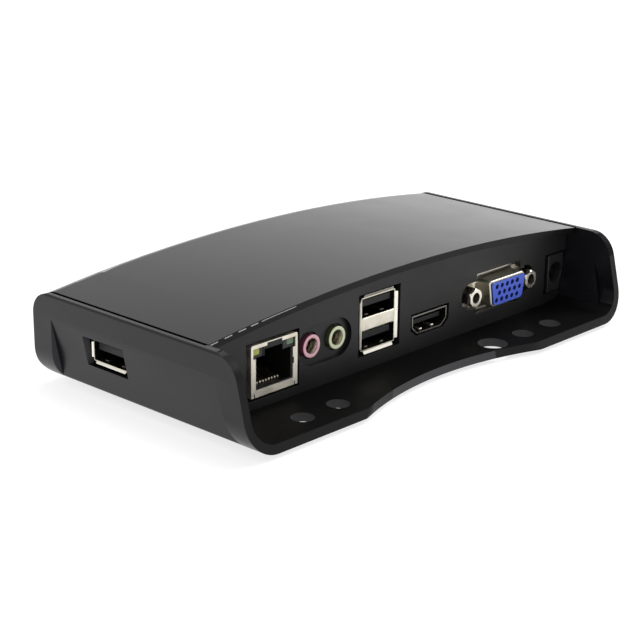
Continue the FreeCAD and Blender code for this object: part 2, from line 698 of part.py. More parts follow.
BUTTON_X = "(-button_place)"
LIGHT_X = "(-light_place)"
plate = block("bezel_plate", ("-(" + INNER + " - cover_gap)", INNER + " - cover_gap"),
              (FRONT + " + bezel_inset", BEZEL_BACK), ("front_sill", "bezel_top"))
button_hole = rod("bezel_button_hole", "button_radius + button_play", BUTTON_X,
                  (FRONT + " - 1", BEZEL_BACK + " + 1"), "front_row")
pipe_hole = rod("bezel_pipe_hole", "pipe_radius + pipe_play", LIGHT_X,
                (FRONT + " - 1", BEZEL_BACK + " + 1"), "front_row")
node("front_bezel", cut("front_bezel", plate, [button_hole, pipe_hole]))

SWITCH = "(" + FRONT + " + switch_edge)"
FLANGE = "(" + BEZEL_BACK + " + flange_gap)"
cap = rod("button_cap", "button_radius", BUTTON_X,
          (FRONT + " + bezel_inset - button_proud", FLANGE + " + flange_thick / 2"), "front_row")
cap = fillet("button_cap_rounded", cap, min(0.5, v.button_radius / 6),
             lambda e: e.BoundBox.YMax < front + v.bezel_inset - v.button_proud + 0.01)
flange = rod("button_flange", "flange_radius", BUTTON_X, (FLANGE, FLANGE + " + flange_thick"), "front_row")
stem = rod("button_stem", "stem_radius", BUTTON_X,
           (FLANGE + " + flange_thick / 2", SWITCH + " - plunger_out"), "front_row")
node("power_button", fuse("power_button", [cap, flange, stem]))
node("switch_plunger", rod("switch_plunger", "stem_radius", BUTTON_X,
                           (SWITCH + " - plunger_out", SWITCH + " + plunger_in"), "front_row"))
switch_block = block("switch_block", around(BUTTON_X, "switch_width"), (SWITCH, SWITCH + " + switch_depth"),
                     (BOARD, BOARD + " + switch_height"))
switch_bore = rod("switch_bore", "stem_radius + plunger_play", BUTTON_X,
                  (SWITCH + " - 1", SWITCH + " + plunger_in + plunger_room"), "front_row")
node("switch_body", cut("switch_body", switch_block, [switch_bore]))

LED_FACE = "(" + FRONT + " + led_edge)"
pipe = rod("pipe_rod", "pipe_radius", LIGHT_X, (FRONT + " + bezel_inset / 2", LED_FACE), "front_row")
pipe_flange = rod("pipe_flange_disc", "pipe_flange", LIGHT_X,
                  (BEZEL_BACK, BEZEL_BACK + " + pipe_flange_thick"), "front_row")
node("status_light_pipe", fuse("status_light_pipe", [pipe, pipe_flange]))
node("status_led", block("status_led", around(LIGHT_X, "led_width"), (LED_FACE, LED_FACE + " + led_depth"),
                         (BOARD, BOARD + " + led_height")))

# Rear panel

NETWORK_X = "network_place"
MIC_X = "(audio_place + audio_pitch / 2)"
PHONES_X = "(audio_place - audio_pitch / 2)"
AUDIO_Z = "(" + BOARD + " + audio_up)"
TWIN_X = "twin_place"
DIGITAL_X = "(-digital_place)"
ANALOG_X = "(-analog_place)"
ANALOG_Z = "(" + BOARD + " + analog_up)"
INLET_X = "(-body_width / 2 + inlet_side)"
INLET_Z = "(" + BOARD + " + inlet_up)"


def panel_outline():
    clear = v.fit_gap
    side = half - v.wall - clear
    radius = inner_radius - clear
    turn = half - v.belly_radius
    low = v.belly_radius - math.sqrt(max(radius ** 2 - 0, 0))
    start = math.degrees(math.asin(max(-1.0, min(1.0, (v.floor_thick - v.belly_radius) / radius))))
    arch = arch_radius - v.cover_thick - clear
    end = arch_centre + math.sqrt(arch ** 2 - side ** 2)
    first = turn_of(turn, v.belly_radius, radius, start / 2, start)
    corner = turn_of(turn, v.belly_radius, radius, start / 2, 0)
    if low >= v.floor_thick:
        foot = turn
        corner = turn_of(turn, v.belly_radius, radius, -45, 0)
        path = [(-foot, low), (foot, low), corner]
    else:
        foot = first[2]
        path = [(-foot, v.floor_thick), (foot, v.floor_thick), corner]
    path.append((side, end))
    path.append((0, arch_centre + arch, -side, end))
    path.append((-side, v.belly_radius))
    path.append((-corner[0], corner[1], -foot, path[0][1]))
    return path


REACH = (PANEL + " - 1", PANEL_OUT + " + 1")
panel_plate = prism("panel_plate", "XZ_Plane", panel_outline(), (PANEL, PANEL_OUT))
panel_foot = block("panel_foot", ("-(" + INNER + " - belly_radius)", INNER + " - belly_radius"),
                   (PANEL, PANEL_OUT), ("floor_thick", "floor_thick + 3"))
panel_cuts = [
    tuck_tool("panel_tuck_plus", 1, v.tuck_wall + v.fit_gap, v.tuck_lag + 1, fill_top),
    tuck_tool("panel_tuck_minus", -1, v.tuck_wall + v.fit_gap, v.tuck_lag + 1, fill_top),
    block("panel_network", (NETWORK_X + " - network_width / 2 - network_right",
                            NETWORK_X + " + network_width / 2 + network_left"), REACH,
          (BOARD + " - network_under", BOARD + " + network_height + network_over")),
    rod("panel_mic", "audio_hole", MIC_X, REACH, AUDIO_Z),
    rod("panel_phones", "audio_hole", PHONES_X, REACH, AUDIO_Z),
    block("panel_twin", around(TWIN_X, "twin_frame_width + 2 * data_gap"), REACH,
          (BOARD + " + twin_frame_up - data_gap",
           BOARD + " + twin_frame_up + twin_frame_height + data_gap")),
    block("panel_analog", around(ANALOG_X, "analog_cut_width"), REACH,
          around(ANALOG_Z, "analog_cut_height")),
    block("panel_nuts", around(ANALOG_X, "analog_nut_pitch"), REACH,
          around(ANALOG_Z, "2 * analog_cut_radius")),
    rod("panel_nut_plus", "analog_cut_radius", ANALOG_X + " + analog_nut_pitch / 2", REACH, ANALOG_Z),
    rod("panel_nut_minus", "analog_cut_radius", ANALOG_X + " - analog_nut_pitch / 2", REACH, ANALOG_Z),
    block("panel_inlet", ("-body_width / 2", INLET_X + " + inlet_width / 2 + inlet_window"), REACH,
          (BOARD + " - fit_gap", BOARD + " + inlet_height + 0.6")),
]
DEEP = (PANEL_OUT + " - audio_recess", PANEL_OUT + " + 1")
panel_cuts.append(rod("recess_mic", "audio_recess_radius", MIC_X, DEEP, AUDIO_Z))
panel_cuts.append(rod("recess_phones", "audio_recess_radius", PHONES_X, DEEP, AUDIO_Z))
panel_cuts.append(block("recess_middle", (PHONES_X, MIC_X), DEEP, around(AUDIO_Z, "2 * audio_recess_radius")))


def digital_outline(grow):
    """The digital video socket's shape: wide above, slanting in below."""
    cz = board + v.digital_up
    x = -v.digital_place
    w = v.digital_width / 2 + grow
    f = v.digital_foot / 2 + grow * 0.6
    up = v.digital_height / 2 + grow
    low = -v.digital_height / 2 - grow
    bend = low + v.digital_bend
    return [(x - f, cz + low), (x + f, cz + low), (x + w, cz + bend), (x + w, cz + up),
            (x - w, cz + up), (x - w, cz + bend)]


panel_cuts.append(prism("panel_digital", "XZ_Plane", digital_outline(v.digital_gap), REACH))
node("rear_panel", cut("rear_panel", fuse("panel_whole", [panel_plate, panel_foot]), panel_cuts))

# Main board

SIDE_EDGE = "(" + INNER + " - board_side_gap)"
board_plate = block("board_plate", ("-" + SIDE_EDGE, SIDE_EDGE),
                    (FRONT + " + board_front_gap", PANEL + " - fit_gap"),
                    ("floor_thick + boss_height", BOARD))
holes = []
for number, (x, y) in enumerate(POSTS):
    holes.append(rod("board_post_hole_%d" % number, "post_radius + post_clear", x, y,
                     ("floor_thick", BOARD + " + 1")))
for number, (x, y) in enumerate(BOSSES):
    holes.append(rod("board_screw_hole_%d" % number, "board_screw_radius + screw_play", x, y,
                     ("floor_thick", BOARD + " + 1")))
node("main_board", cut("main_board", board_plate, holes))

small = []
for number, (x, y) in enumerate(BOSSES):
    head = rod("board_head_%d" % number, "board_screw_head", x, y, (BOARD, BOARD + " + board_screw_cap"))
    shank = rod("board_shank_%d" % number, "board_screw_radius", x, y,
                ("board_screw_end", BOARD + " + board_screw_cap / 2"))
    small.append(fuse("board_screw_%d" % number, [head, shank]))
node("board_screws", group("board_screws", small))

# Chips and the heat sink

CHIP_X = "(-chip_place)"
CHIP_Y = "((" + FRONT + " + wall + " + FACE + " - twin_depth) / 2)"
PAD_Z = "(" + BOARD + " + chip_height)"
SINK_Z = "(" + BOARD + " + chip_height + pad_height)"
node("processor", block("processor", around(CHIP_X, "chip_side"), around(CHIP_Y, "chip_side"),
                        (BOARD, PAD_Z)))
node("thermal_pad", block("thermal_pad", around(CHIP_X, "pad_side"), around(CHIP_Y, "pad_side"),
                          (PAD_Z, SINK_Z)))
sink = block("sink_block", around(CHIP_X, "sink_side"), around(CHIP_Y, "sink_side"),
             (SINK_Z, SINK_Z + " + sink_height"))
gaps = []
count = int((v.sink_side - v.fin_thick) / v.fin_pitch + 1e-6)
for number in range(count):
    start = "%s - sink_side / 2 + %d * fin_pitch + fin_thick" % (CHIP_X, number)
    gaps.append(block("sink_gap_%d" % number, (start, start + " + fin_pitch - fin_thick"),
                      around(CHIP_Y, "sink_side + 2"), (SINK_Z + " + sink_base", SINK_Z + " + sink_height + 1")))
node("heat_sink", cut("heat_sink", sink, gaps))


def chips(label, places, width, length, height):
    made = []
    for number, (x, y) in enumerate(places):
        made.append(block("%s_%d" % (label, number), around(x, width), around(y, length),
                          (BOARD, BOARD + " + " + height)))
    return node(label, group(label, made))


MEMORY_X = "(" + CHIP_X + " + sink_side / 2 + memory_aside)"
chips("memory_chips", [(MEMORY_X, "(" + CHIP_Y + " + memory_rear)"), (MEMORY_X, "(" + CHIP_Y + " - memory_front)")],
      "memory_width", "memory_length", "memory_height")
chips("flash_chip", [("(" + CHIP_X + " - sink_side / 2 - flash_aside)", "(" + CHIP_Y + " + flash_rear)")],
      "flash_width", "flash_length", "small_chip_height * 1.5")
POWER_Y = "(" + FACE + " - power_row_back)"
chips("control_chips", [("audio_chip_place", "(" + CHIP_Y + " - audio_chip_front)"),
                        ("-video_chip_place", POWER_Y),
                        ("-clock_chip_place", "(" + CHIP_Y + " - clock_chip_front)"),
                        ("port_chip_place", "(" + CHIP_Y + " - port_chip_front)")],
      "control_side", "control_side", "small_chip_height")
chips("network_transformer", [(NETWORK_X + " - transformer_shift",
                               "(" + FACE + " - transformer_back - transformer_length / 2)")],
      "transformer_width", "transformer_length", "transformer_height")
chips("inductors", [("(-" + SIDE_EDGE + " + coil_column)", "(" + CHIP_Y + " - coil_front)"),
                    ("-coil_place", POWER_Y)],
      "coil_side", "coil_side", "coil_height")
CRYSTAL_Y = "(" + FRONT + " + crystal_edge)"
chips("crystals", [("-crystal_near", CRYSTAL_Y), ("crystal_far", CRYSTAL_Y)],
      "crystal_length", "crystal_width", "crystal_height")
cans = []
CAN_PLACES = [("-" + SIDE_EDGE + " + cap_column", CHIP_Y + " + cap_rear"),
              ("-" + SIDE_EDGE + " + cap_column", CHIP_Y + " - cap_front"),
              ("-" + SIDE_EDGE + " + coil_column", CHIP_Y + " + cap_outer_rear")]
for number, (x, y) in enumerate(CAN_PLACES):
    cans.append(rod("capacitor_%d" % number, "cap_radius", "(" + x + ")", "(" + y + ")",
                    (BOARD, BOARD + " + cap_height")))
node("capacitors", group("capacitors", cans))

# Network socket

NET_BACK = "(" + FACE + " - network_depth)"
NET_TOP = "(" + BOARD + " + network_height)"
NET_LOW = "(" + NETWORK_X + " - network_width / 2)"
NET_HIGH = "(" + NETWORK_X + " + network_width / 2)"
MOUTH_LOW = "(" + BOARD + " + network_mouth_low)"
MOUTH_TOP = "(" + BOARD + " + network_mouth_low + network_mouth_height)"
box = block("shield_block", (NET_LOW, NET_HIGH), (NET_BACK, FACE), (BOARD, NET_TOP))
inside = block("shield_room", (NET_LOW + " + shield_thick", NET_HIGH + " - shield_thick"),
               (NET_BACK + " + shield_thick", FACE + " - shield_thick"),
               (BOARD + " + shield_thick", NET_TOP + " - shield_thick"))
mouth = block("shield_mouth", around(NETWORK_X, "network_mouth_width"), (FACE + " - 2", FACE + " + 1"),
              (MOUTH_LOW, MOUTH_TOP))
lamp_mouth = block("shield_lamp_mouth", around(NETWORK_X, "network_mouth_width + 2 * lamp_out"),
                   (FACE + " - 2", FACE + " + 1"), (MOUTH_TOP + " - lamp_height", MOUTH_TOP))
node("network_shield", cut("network_shield", box, [inside, mouth, lamp_mouth]))

core = block("housing_block", (NET_LOW + " + shield_thick", NET_HIGH + " - shield_thick"),
             (NET_BACK + " + shield_thick", FACE + " - shield_thick"),
             (BOARD + " + shield_thick", NET_TOP + " - shield_thick"))
PLUG_BACK = "(" + FACE + " - plug_depth)"
PLUG_Z = "(" + BOARD + " + plug_low)"
plug = block("housing_plug", around(NETWORK_X, "plug_width"), (PLUG_BACK, FACE + " + 1"),
             (PLUG_Z, PLUG_Z + " + plug_height"))
latch = block("housing_latch", around(NETWORK_X, "latch_width"), (PLUG_BACK, FACE + " + 1"),
              (PLUG_Z + " + plug_height - 1", PLUG_Z + " + plug_height + latch_height"))
LAMP_FACE = "(" + FACE + " - lamp_back)"
lamp_holes = []
lamps = {}
for name, side in (("network_link_led", ""), ("network_data_led", "-")):
    outer_x = "%s %s (network_mouth_width / 2 + lamp_out)" % (NETWORK_X, "-" if side else "+")
    inner_x = "%s %s lamp_width" % (outer_x, "+" if side else "-")
    span = (outer_x, inner_x) if side else (inner_x, outer_x)
    level = (MOUTH_TOP + " - lamp_height", MOUTH_TOP)
    lamp_holes.append(block(name + "_pocket", span, (LAMP_FACE + " - lamp_depth", FACE + " + 1"), level))
    lamps[name] = block(name, span, (LAMP_FACE + " - lamp_depth", LAMP_FACE), level)
node("network_housing", cut("network_housing", core, [plug, latch] + lamp_holes))
node("network_link_led", lamps["network_link_led"])
node("network_data_led", lamps["network_data_led"])

plane = edge - v.bay_depth
low = board + v.plug_low
y_in = plane - v.plug_depth
y_out = plane - v.pin_foot
top = low + v.pin_rise
pin_path = [(y_out, low), (y_out, low + v.pin_thick), (y_in + v.pin_bend, top), (y_in, top),
            (y_in, top - v.pin_thick), (y_in + 0.9 * v.pin_bend, top - v.pin_thick),
            (y_out - 2.5 * v.pin_thick, low)]
strip = prism("network_pin_sheet", "YZ_Plane", pin_path,
              (NETWORK_X + " - 3.5 * pin_pitch - pin_width / 2", NETWORK_X + " + 3.5 * pin_pitch + pin_width / 2"))
slits = []
for number in range(7):
    start = "%s + (%d - 3.5) * pin_pitch + pin_width / 2" % (NETWORK_X, number)
    slits.append(block("network_slit_%d" % number, (start, start + " + pin_pitch - pin_width"),
                       (PLUG_BACK + " - 1", FACE), (PLUG_Z + " - 1", PLUG_Z + " + plug_height")))
node("network_contacts", cut("network_contacts", strip, slits))

# Audio sockets

JACK_BACK = "(" + FACE + " - jack_depth)"
AUDIO_BACK = "(" + FACE + " - jack_depth - 1)"
AUDIO_FRONT = "(" + PANEL + " - fit_gap)"
collars = {}
sleeves = []
housings = []
for name, x in (("mic_collar", MIC_X), ("headphone_collar", PHONES_X)):
    ring = rod(name + "_ring", "collar_radius", x, (AUDIO_FRONT, FACE + " + panel_proud / 2"), AUDIO_Z)
    hole = rod(name + "_hole", "sleeve_radius", x, (AUDIO_FRONT + " - 1", FACE + " + 2"), AUDIO_Z)
    collars[name] = cut(name, ring, [hole])
    tube = rod(name + "_sleeve", "sleeve_radius", x, (JACK_BACK, FACE + " - 0.1"), AUDIO_Z)
    bore = rod(name + "_bore", "jack_radius", x, (JACK_BACK + " - 1", FACE + " + 1"), AUDIO_Z)
    sleeves.append(cut(name + "_sleeve_cut", tube, [bore]))
    body = block(name + "_block", around(x, "audio_width"), (AUDIO_BACK, AUDIO_FRONT),
                 (BOARD, AUDIO_Z + " + audio_width / 2"))
    seat = rod(name + "_seat", "sleeve_radius", x, (JACK_BACK, FACE + " + 1"), AUDIO_Z)
    housings.append(cut(name + "_housing", body, [seat]))
node("mic_collar", collars["mic_collar"])
node("headphone_collar", collars["headphone_collar"])
node("audio_sleeves", group("audio_sleeves", sleeves))
node("audio_housings", group("audio_housings", housings))

# Twin data sockets

TWIN_BACK = "(" + FACE + " - twin_depth)"
DATA_BACK = "(" + FACE + " - data_depth)"
LEVELS = ["(" + BOARD + " + data_low)", "(" + BOARD + " + data_low + data_height + data_web)"]
can = block("twin_can", around(TWIN_X, "twin_width"), (TWIN_BACK, FACE),
            (BOARD + " + twin_frame_up", BOARD + " + twin_height"))
can_foot = block("twin_can_foot", around(TWIN_X, "twin_width"), (TWIN_BACK, PANEL + " - fit_gap"),
                 (BOARD, BOARD + " + twin_frame_up"))
frame = block("twin_frame", around(TWIN_X, "twin_frame_width"), (FACE + " - twin_frame_thick", FACE),
              (BOARD + " + twin_frame_up", BOARD + " + twin_frame_up + twin_frame_height"))
SHIFTS = (" - strip_far", " - strip_near", " + strip_near", " + strip_far")
rooms = []
tongues = []
strips = []
for number, level in enumerate(LEVELS):
    rooms.append(block("twin_room_%d" % number, around(TWIN_X, "data_width"), (DATA_BACK, FACE + " + 1"),
                       (level, level + " + data_height")))
    top = level + " + data_height - tongue_top"
    tongues.append(block("twin_tongue_%d" % number, around(TWIN_X, "tongue_width"),
                         (DATA_BACK, FACE + " - tongue_back"), (top + " - tongue_thick", top)))
    for pin, shift in enumerate(SHIFTS):
        strips.append(block("twin_strip_%d_%d" % (number, pin), around(TWIN_X + shift, "strip_width"),
                            (DATA_BACK, FACE + " - tongue_back - 1.5"),
                            (top + " - tongue_thick - strip_thick", top + " - tongue_thick")))
node("twin_port_shell", cut("twin_port_shell", fuse("twin_whole", [can, can_foot, frame]), rooms))
node("twin_port_tongues", group("twin_port_tongues", tongues))
node("twin_port_contacts", group("twin_port_contacts", strips))

# Digital video socket

DIG_Z = "(" + BOARD + " + digital_up)"
DIG_BACK = "(" + FACE + " - digital_depth)"
DIG_LOW = "(" + DIG_Z + " - digital_height / 2)"
case = prism("digital_case", "XZ_Plane", digital_outline(0), (DIG_BACK, FACE + " + panel_proud / 2"))
void = prism("digital_void", "XZ_Plane", digital_outline(-v.digital_sheet),
             (DIG_BACK + " + 1", FACE + " + 1"))
node("digital_video_shell", cut("digital_video_shell", case, [void]))
TONGUE_Z = "(" + DIG_Z + " + 0.35)"
node("digital_video_tongue", block("digital_video_tongue", around(DIGITAL_X, "digital_foot + 0.6"),
                                   (DIG_BACK + " + 1", FACE + " - 1.2"), around(TONGUE_Z, "1.3")))
node("digital_video_base", block("digital_video_base", around(DIGITAL_X, "digital_foot - 0.4"),
                                 (DIG_BACK, PANEL + " - fit_gap"), (BOARD, DIG_LOW)))
leaf = []
for side, count, shift in ((1, 10, -4.5), (-1, 9, -4.0)):
    for number in range(count):
        edge_z = TONGUE_Z + (" + 0.65" if side > 0 else " - 0.65 - 0.15")
        leaf.append(block("digital_pin_%d_%d" % (side + 1, number),
                          around("%s + %g" % (DIGITAL_X, shift + number), "0.5"),
                          (DIG_BACK + " + 1", FACE + " - 2"), (edge_z, edge_z + " + 0.15")))
node("digital_video_contacts", group("digital_video_contacts", leaf))

# Analog video socket

FLANGE_FACE = "(" + FACE + " - analog_flange_back)"
FLANGE_BACK = "(" + FLANGE_FACE + " - analog_flange_thick)"


def shell_outline(grow):
    """A D shape: wider above than below, with round corners."""
    cx = -v.analog_place
    cz = board + v.analog_up
    w = v.analog_shell_width / 2 + grow
    up = v.analog_shell_height / 2 + grow
    lean = v.analog_shell_lean
    r = max(v.analog_shell_round + grow, 0.3)
    corners = [(cx - w + lean, cz - up), (cx + w - lean, cz - up), (cx + w, cz + up), (cx - w, cz + up)]
    path = []
    for number in range(4):
        a = corners[number - 1]
        b = corners[number]
        c = corners[(number + 1) % 4]
        d0 = ((a[0] - b[0]), (a[1] - b[1]))
        d1 = ((c[0] - b[0]), (c[1] - b[1]))
        l0 = math.hypot(d0[0], d0[1])
        l1 = math.hypot(d1[0], d1[1])
        d0 = (d0[0] / l0, d0[1] / l0)
        d1 = (d1[0] / l1, d1[1] / l1)
        open_angle = math.acos(d0[0] * d1[0] + d0[1] * d1[1])
        back = r / math.tan(open_angle / 2)
        far = r / math.sin(open_angle / 2)
        m = (d0[0] + d1[0], d0[1] + d1[1])
        lm = math.hypot(m[0], m[1])
        m = (m[0] / lm, m[1] / lm)
        path.append((b[0] + d0[0] * back, b[1] + d0[1] * back))
        path.append((b[0] + m[0] * (far - r), b[1] + m[1] * (far - r),
                     b[0] + d1[0] * back, b[1] + d1[1] * back))
    return path


plate = block("analog_plate", around(ANALOG_X, "analog_flange_width"), (FLANGE_BACK, FLANGE_FACE),
              around(ANALOG_Z, "analog_flange_height"))
corner_edges = lambda e: e.BoundBox.YLength > v.analog_flange_thick * 0.9 and e.BoundBox.XLength < 1e-4
plate = fillet("analog_plate_rounded", plate, 1.0, corner_edges)
d_out = prism("analog_d_outer", "XZ_Plane", shell_outline(0), (FLANGE_BACK, FACE + " + analog_shell_proud"))
root = prism("analog_d_root", "XZ_Plane", shell_outline(v.analog_flare),
             (FLANGE_BACK, FLANGE_FACE + " + analog_flare * 0.5"))
d_in = prism("analog_d_inner", "XZ_Plane", shell_outline(-v.analog_shell_sheet),
             (FLANGE_BACK + " - 1", FACE + " + analog_shell_proud + 1"))
nut_bores = []
nuts = []
for name, side in (("plus", "+"), ("minus", "-")):
    x = "%s %s analog_nut_pitch / 2" % (ANALOG_X, side)
    nut = doc.addObject("Part::Prism", "analog_nut_" + name)
    nut.Polygon = 6
    nut.Placement = FreeCAD.Placement(V(), TURNS["y"])
    bind(nut, "Circumradius", "analog_nut_flats / sqrt(3)")
    bind(nut, "Height", "analog_nut_length")
    place(nut, x, FLANGE_FACE, ANALOG_Z)
    bore = rod("analog_thread_" + name, "analog_thread", x,
               (FLANGE_BACK + " - 1", FLANGE_FACE + " + analog_nut_length + 1"), ANALOG_Z)
    nuts.append(cut("analog_nut_bored_" + name, nut, [bore]))
    nut_bores.append(rod("analog_plate_bore_" + name, "analog_thread", x,
                         (FLANGE_BACK + " - 1", FLANGE_FACE + " + 1"), ANALOG_Z))
node("analog_video_shell", cut("analog_video_shell", fuse("analog_metal", [plate, root, d_out]),
                               [d_in] + nut_bores))
node("analog_video_nuts", group("analog_video_nuts", nuts))

INSERT_FACE = "(" + FACE + " + analog_shell_proud + analog_insert_proud)"
fill = prism("analog_fill", "XZ_Plane", shell_outline(-v.analog_shell_sheet), (FLANGE_BACK, INSERT_FACE))
sockets = []
pins = []
for rank in range(3):
    level = "(%s + (%d) * analog_row_pitch)" % (ANALOG_Z, 1 - rank)
    for number in range(5):
        shift = number - 2 + (-0.25 if rank == 1 else 0.25)
        x = "(%s + (%g) * analog_hole_pitch)" % (ANALOG_X, shift)
        sockets.append(rod("analog_socket_%d_%d" % (rank, number), "analog_hole_radius", x,
                           (FLANGE_BACK, INSERT_FACE + " + 1"), level))
        pins.append(rod("analog_pin_%d_%d" % (rank, number), "analog_pin_radius", x,
                        (FLANGE_BACK, INSERT_FACE + " - analog_pin_back"), level))
node("analog_video_insert", cut("analog_video_insert", fill, sockets))
node("analog_video_contacts", group("analog_video_contacts", pins))
ANALOG_BACK = "(" + FLANGE_BACK + " - analog_body_depth)"
bulk = block("analog_bulk", around(ANALOG_X, "analog_body_width"), (ANALOG_BACK, FLANGE_BACK),
             (BOARD, ANALOG_Z + " + analog_flange_height / 2 - 0.6"))
wings = block("analog_wings", around(ANALOG_X, "analog_flange_width"), (FLANGE_BACK + " - 5", FLANGE_BACK),
              (BOARD, ANALOG_Z + " - analog_thread - 1"))
node("analog_video_body", fuse("analog_video_body", [bulk, wings]))

# Power inlet

INLET_BACK = "(" + FACE + " - inlet_depth)"
BORE_BACK = "(" + FACE + " - inlet_bore_depth)"
lump = block("inlet_block", around(INLET_X, "inlet_width"), (INLET_BACK, FACE),
             (BOARD, BOARD + " + inlet_height"))
bore = rod("inlet_bore_rod", "inlet_bore", INLET_X, (BORE_BACK, FACE + " + 1"), INLET_Z)
corner_cut = tuck_tool("inlet_tuck", -1, v.tuck_wall + v.fit_gap, v.tuck_lag + 1, fill_top)
node("power_inlet_body", cut("power_inlet_body", lump, [bore, corner_cut]))
node("power_inlet_pin", rod("power_inlet_pin", "inlet_pin", INLET_X,
                            (BORE_BACK, FACE + " - inlet_pin_back"), INLET_Z))
node("power_inlet_spring", block("power_inlet_spring", around(INLET_X, "inlet_bore * 0.7"),
                                 (BORE_BACK, FACE + " - inlet_pin_back - 2"),
                                 (INLET_Z + " - inlet_bore * 0.93", INLET_Z + " - inlet_bore * 0.83")))

# Side socket

PORT_FACE = "(body_width / 2 - side_port_back)"
PORT_BACK = "(" + PORT_FACE + " - side_port_depth)"
can = block("side_can", (PORT_BACK, PORT_FACE), around(PORT_Y, "twin_width"),
            around(PORT_Z, "side_port_height"))
room = block("side_room", (PORT_BACK + " + 1", PORT_FACE + " + 1"),
             around(PORT_Y, "twin_width - 2 * side_port_sheet"),
             around(PORT_Z, "side_port_height - 2 * side_port_sheet"))
node("side_port_shell", cut("side_port_shell", can, [room]))
top = PORT_Z + " + side_port_height / 2 - side_port_sheet - tongue_top"
node("side_port_tongue", block("side_port_tongue", (PORT_BACK + " + 1", PORT_FACE + " - tongue_back"),
                               around(PORT_Y, "tongue_width"), (top + " - tongue_thick", top)))
strips = []
for pin, shift in enumerate(SHIFTS):
    strips.append(block("side_strip_%d" % pin, (PORT_BACK + " + 1", PORT_FACE + " - tongue_back - 1.5"),
                        around(PORT_Y + shift, "strip_width"),
                        (top + " - tongue_thick - strip_thick", top + " - tongue_thick")))
node("side_port_contacts", group("side_port_contacts", strips))
node("side_port_base", block("side_port_base", (PORT_BACK, SIDE_EDGE + " - 0.5"),
                             around(PORT_Y, "twin_width - 1.5"),
                             (BOARD, PORT_Z + " - side_port_height / 2")))

# Check, then write one file for each piece

doc.recompute()
for obj in doc.Objects:
    bad = [word for word in obj.State if word in ("Invalid", "Error")]
    if bad:
        raise RuntimeError("%s: %s" % (obj.Name, obj.State))
for label, obj in NODES.items():
    shape = obj.Shape
    if shape.isNull() or not shape.isValid() or shape.Volume <= 0:
        raise RuntimeError(label + ": no valid solid")
    if obj.Label != label:
        raise RuntimeError(label + ": label taken")
os.makedirs("parts", exist_ok=True)
for label, obj in sorted(NODES.items()):
    obj.Shape.exportStep("parts/" + label + ".step")
    print("%-24s %3d solid(s) %10.2f mm3" % (label, len(obj.Shape.Solids), obj.Shape.Volume))
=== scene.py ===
"""A thin client seen from its socket side: its looks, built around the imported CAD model."""

import json
import math

import bpy
from mathutils import Matrix, Vector

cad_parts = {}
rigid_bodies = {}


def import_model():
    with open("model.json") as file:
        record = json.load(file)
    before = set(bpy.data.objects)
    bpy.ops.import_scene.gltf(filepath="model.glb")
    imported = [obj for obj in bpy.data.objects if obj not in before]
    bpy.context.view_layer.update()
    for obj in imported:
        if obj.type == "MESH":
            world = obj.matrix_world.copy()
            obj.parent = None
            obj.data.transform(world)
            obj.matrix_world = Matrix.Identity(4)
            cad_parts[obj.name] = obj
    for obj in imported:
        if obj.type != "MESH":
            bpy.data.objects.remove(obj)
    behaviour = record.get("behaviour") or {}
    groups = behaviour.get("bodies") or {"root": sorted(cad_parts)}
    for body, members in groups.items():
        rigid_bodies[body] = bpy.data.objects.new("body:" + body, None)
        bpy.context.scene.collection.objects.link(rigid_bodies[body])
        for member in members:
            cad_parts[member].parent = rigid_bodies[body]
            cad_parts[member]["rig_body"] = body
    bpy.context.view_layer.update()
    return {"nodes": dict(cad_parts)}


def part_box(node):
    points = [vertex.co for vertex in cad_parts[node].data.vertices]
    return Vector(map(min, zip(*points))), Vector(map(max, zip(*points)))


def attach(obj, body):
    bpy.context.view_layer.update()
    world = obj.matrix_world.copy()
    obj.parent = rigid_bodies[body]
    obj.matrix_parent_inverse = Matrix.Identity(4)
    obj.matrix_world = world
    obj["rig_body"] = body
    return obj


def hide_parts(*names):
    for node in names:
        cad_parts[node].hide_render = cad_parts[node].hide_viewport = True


bl_info = {
    "name": "Thin Client",
    "version": (1, 0, 0),
    "blender": (4, 5, 0),
    "location": "View3D > Sidebar > Thin Client",
    "description": "Builds the visible pieces of a small thin client around its CAD frame",
    "category": "Object",
}

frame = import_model()
NODES = frame["nodes"]
MM = 0.001

# Camera of the photograph, from the sockets' known sizes: image side, focal length and principal
# point in pixels, place in metres, its right and up axes, and the sensor's width in millimetres.
IMAGE_SIDE = 640
FOCAL_PIXELS = 1663.9
PRINCIPAL = (314.54, 326.19)
CAMERA_PLACE = (0.31760, 0.28798, 0.15193)
CAMERA_RIGHT = (-0.68870, 0.72500, 0.00874)
CAMERA_UP = (-0.22670, -0.22678, 0.94720)
SENSOR = 36.0

# The fine bead along the cover's rear edge, light grey as a painted highlight: how far it lies
# under the arch, its dashes near the network socket by their lower X, the gap after the last of
# them, and where the bead ends.
BEAD_DROP = 0.4 * MM
DASH_LENGTH = 2.4 * MM
DASHES = (69.4 * MM, 64.9 * MM, 60.4 * MM, 56.4 * MM)
DASH_GAP = 1.2 * MM
BEAD_END = 43.5 * MM

# The gap between cover and walls, as wide and deep as it shows.
GAP_WIDTH = 1.05 * MM
GAP_DEPTH = 0.7 * MM

# Where the tray changes its finish, with painted shade and painted light: the depth of the bay
# behind the sockets, the inner side of the far wall, the tucked-in part of both ends, the top of
# the lip, and the strip with the holes.
BAY = 19 * MM
FAR_WALL = -70 * MM
TUCK = 4.5 * MM
TUCK_TOP = 18.5 * MM
LIP_TOP = 8 * MM
HOLE_TOP = 3.6 * MM
HOLE_STRIP = (13.5 * MM, 4.3 * MM)
HOLE_REACH = 60 * MM

# Data sockets: the plug's opening, the sheet that they are folded from, and its bent-out edges.
DATA_WIDTH = 12.5 * MM
DATA_HEIGHT = 5.12 * MM
DATA_FLOOR = 2.28 * MM
DATA_WEB = 3.66 * MM
SHEET = 0.3 * MM
FLAP_REACH = 1.10 * MM
SIDE_REACH = 0.80 * MM
FLAP_LEAN = math.radians(62)

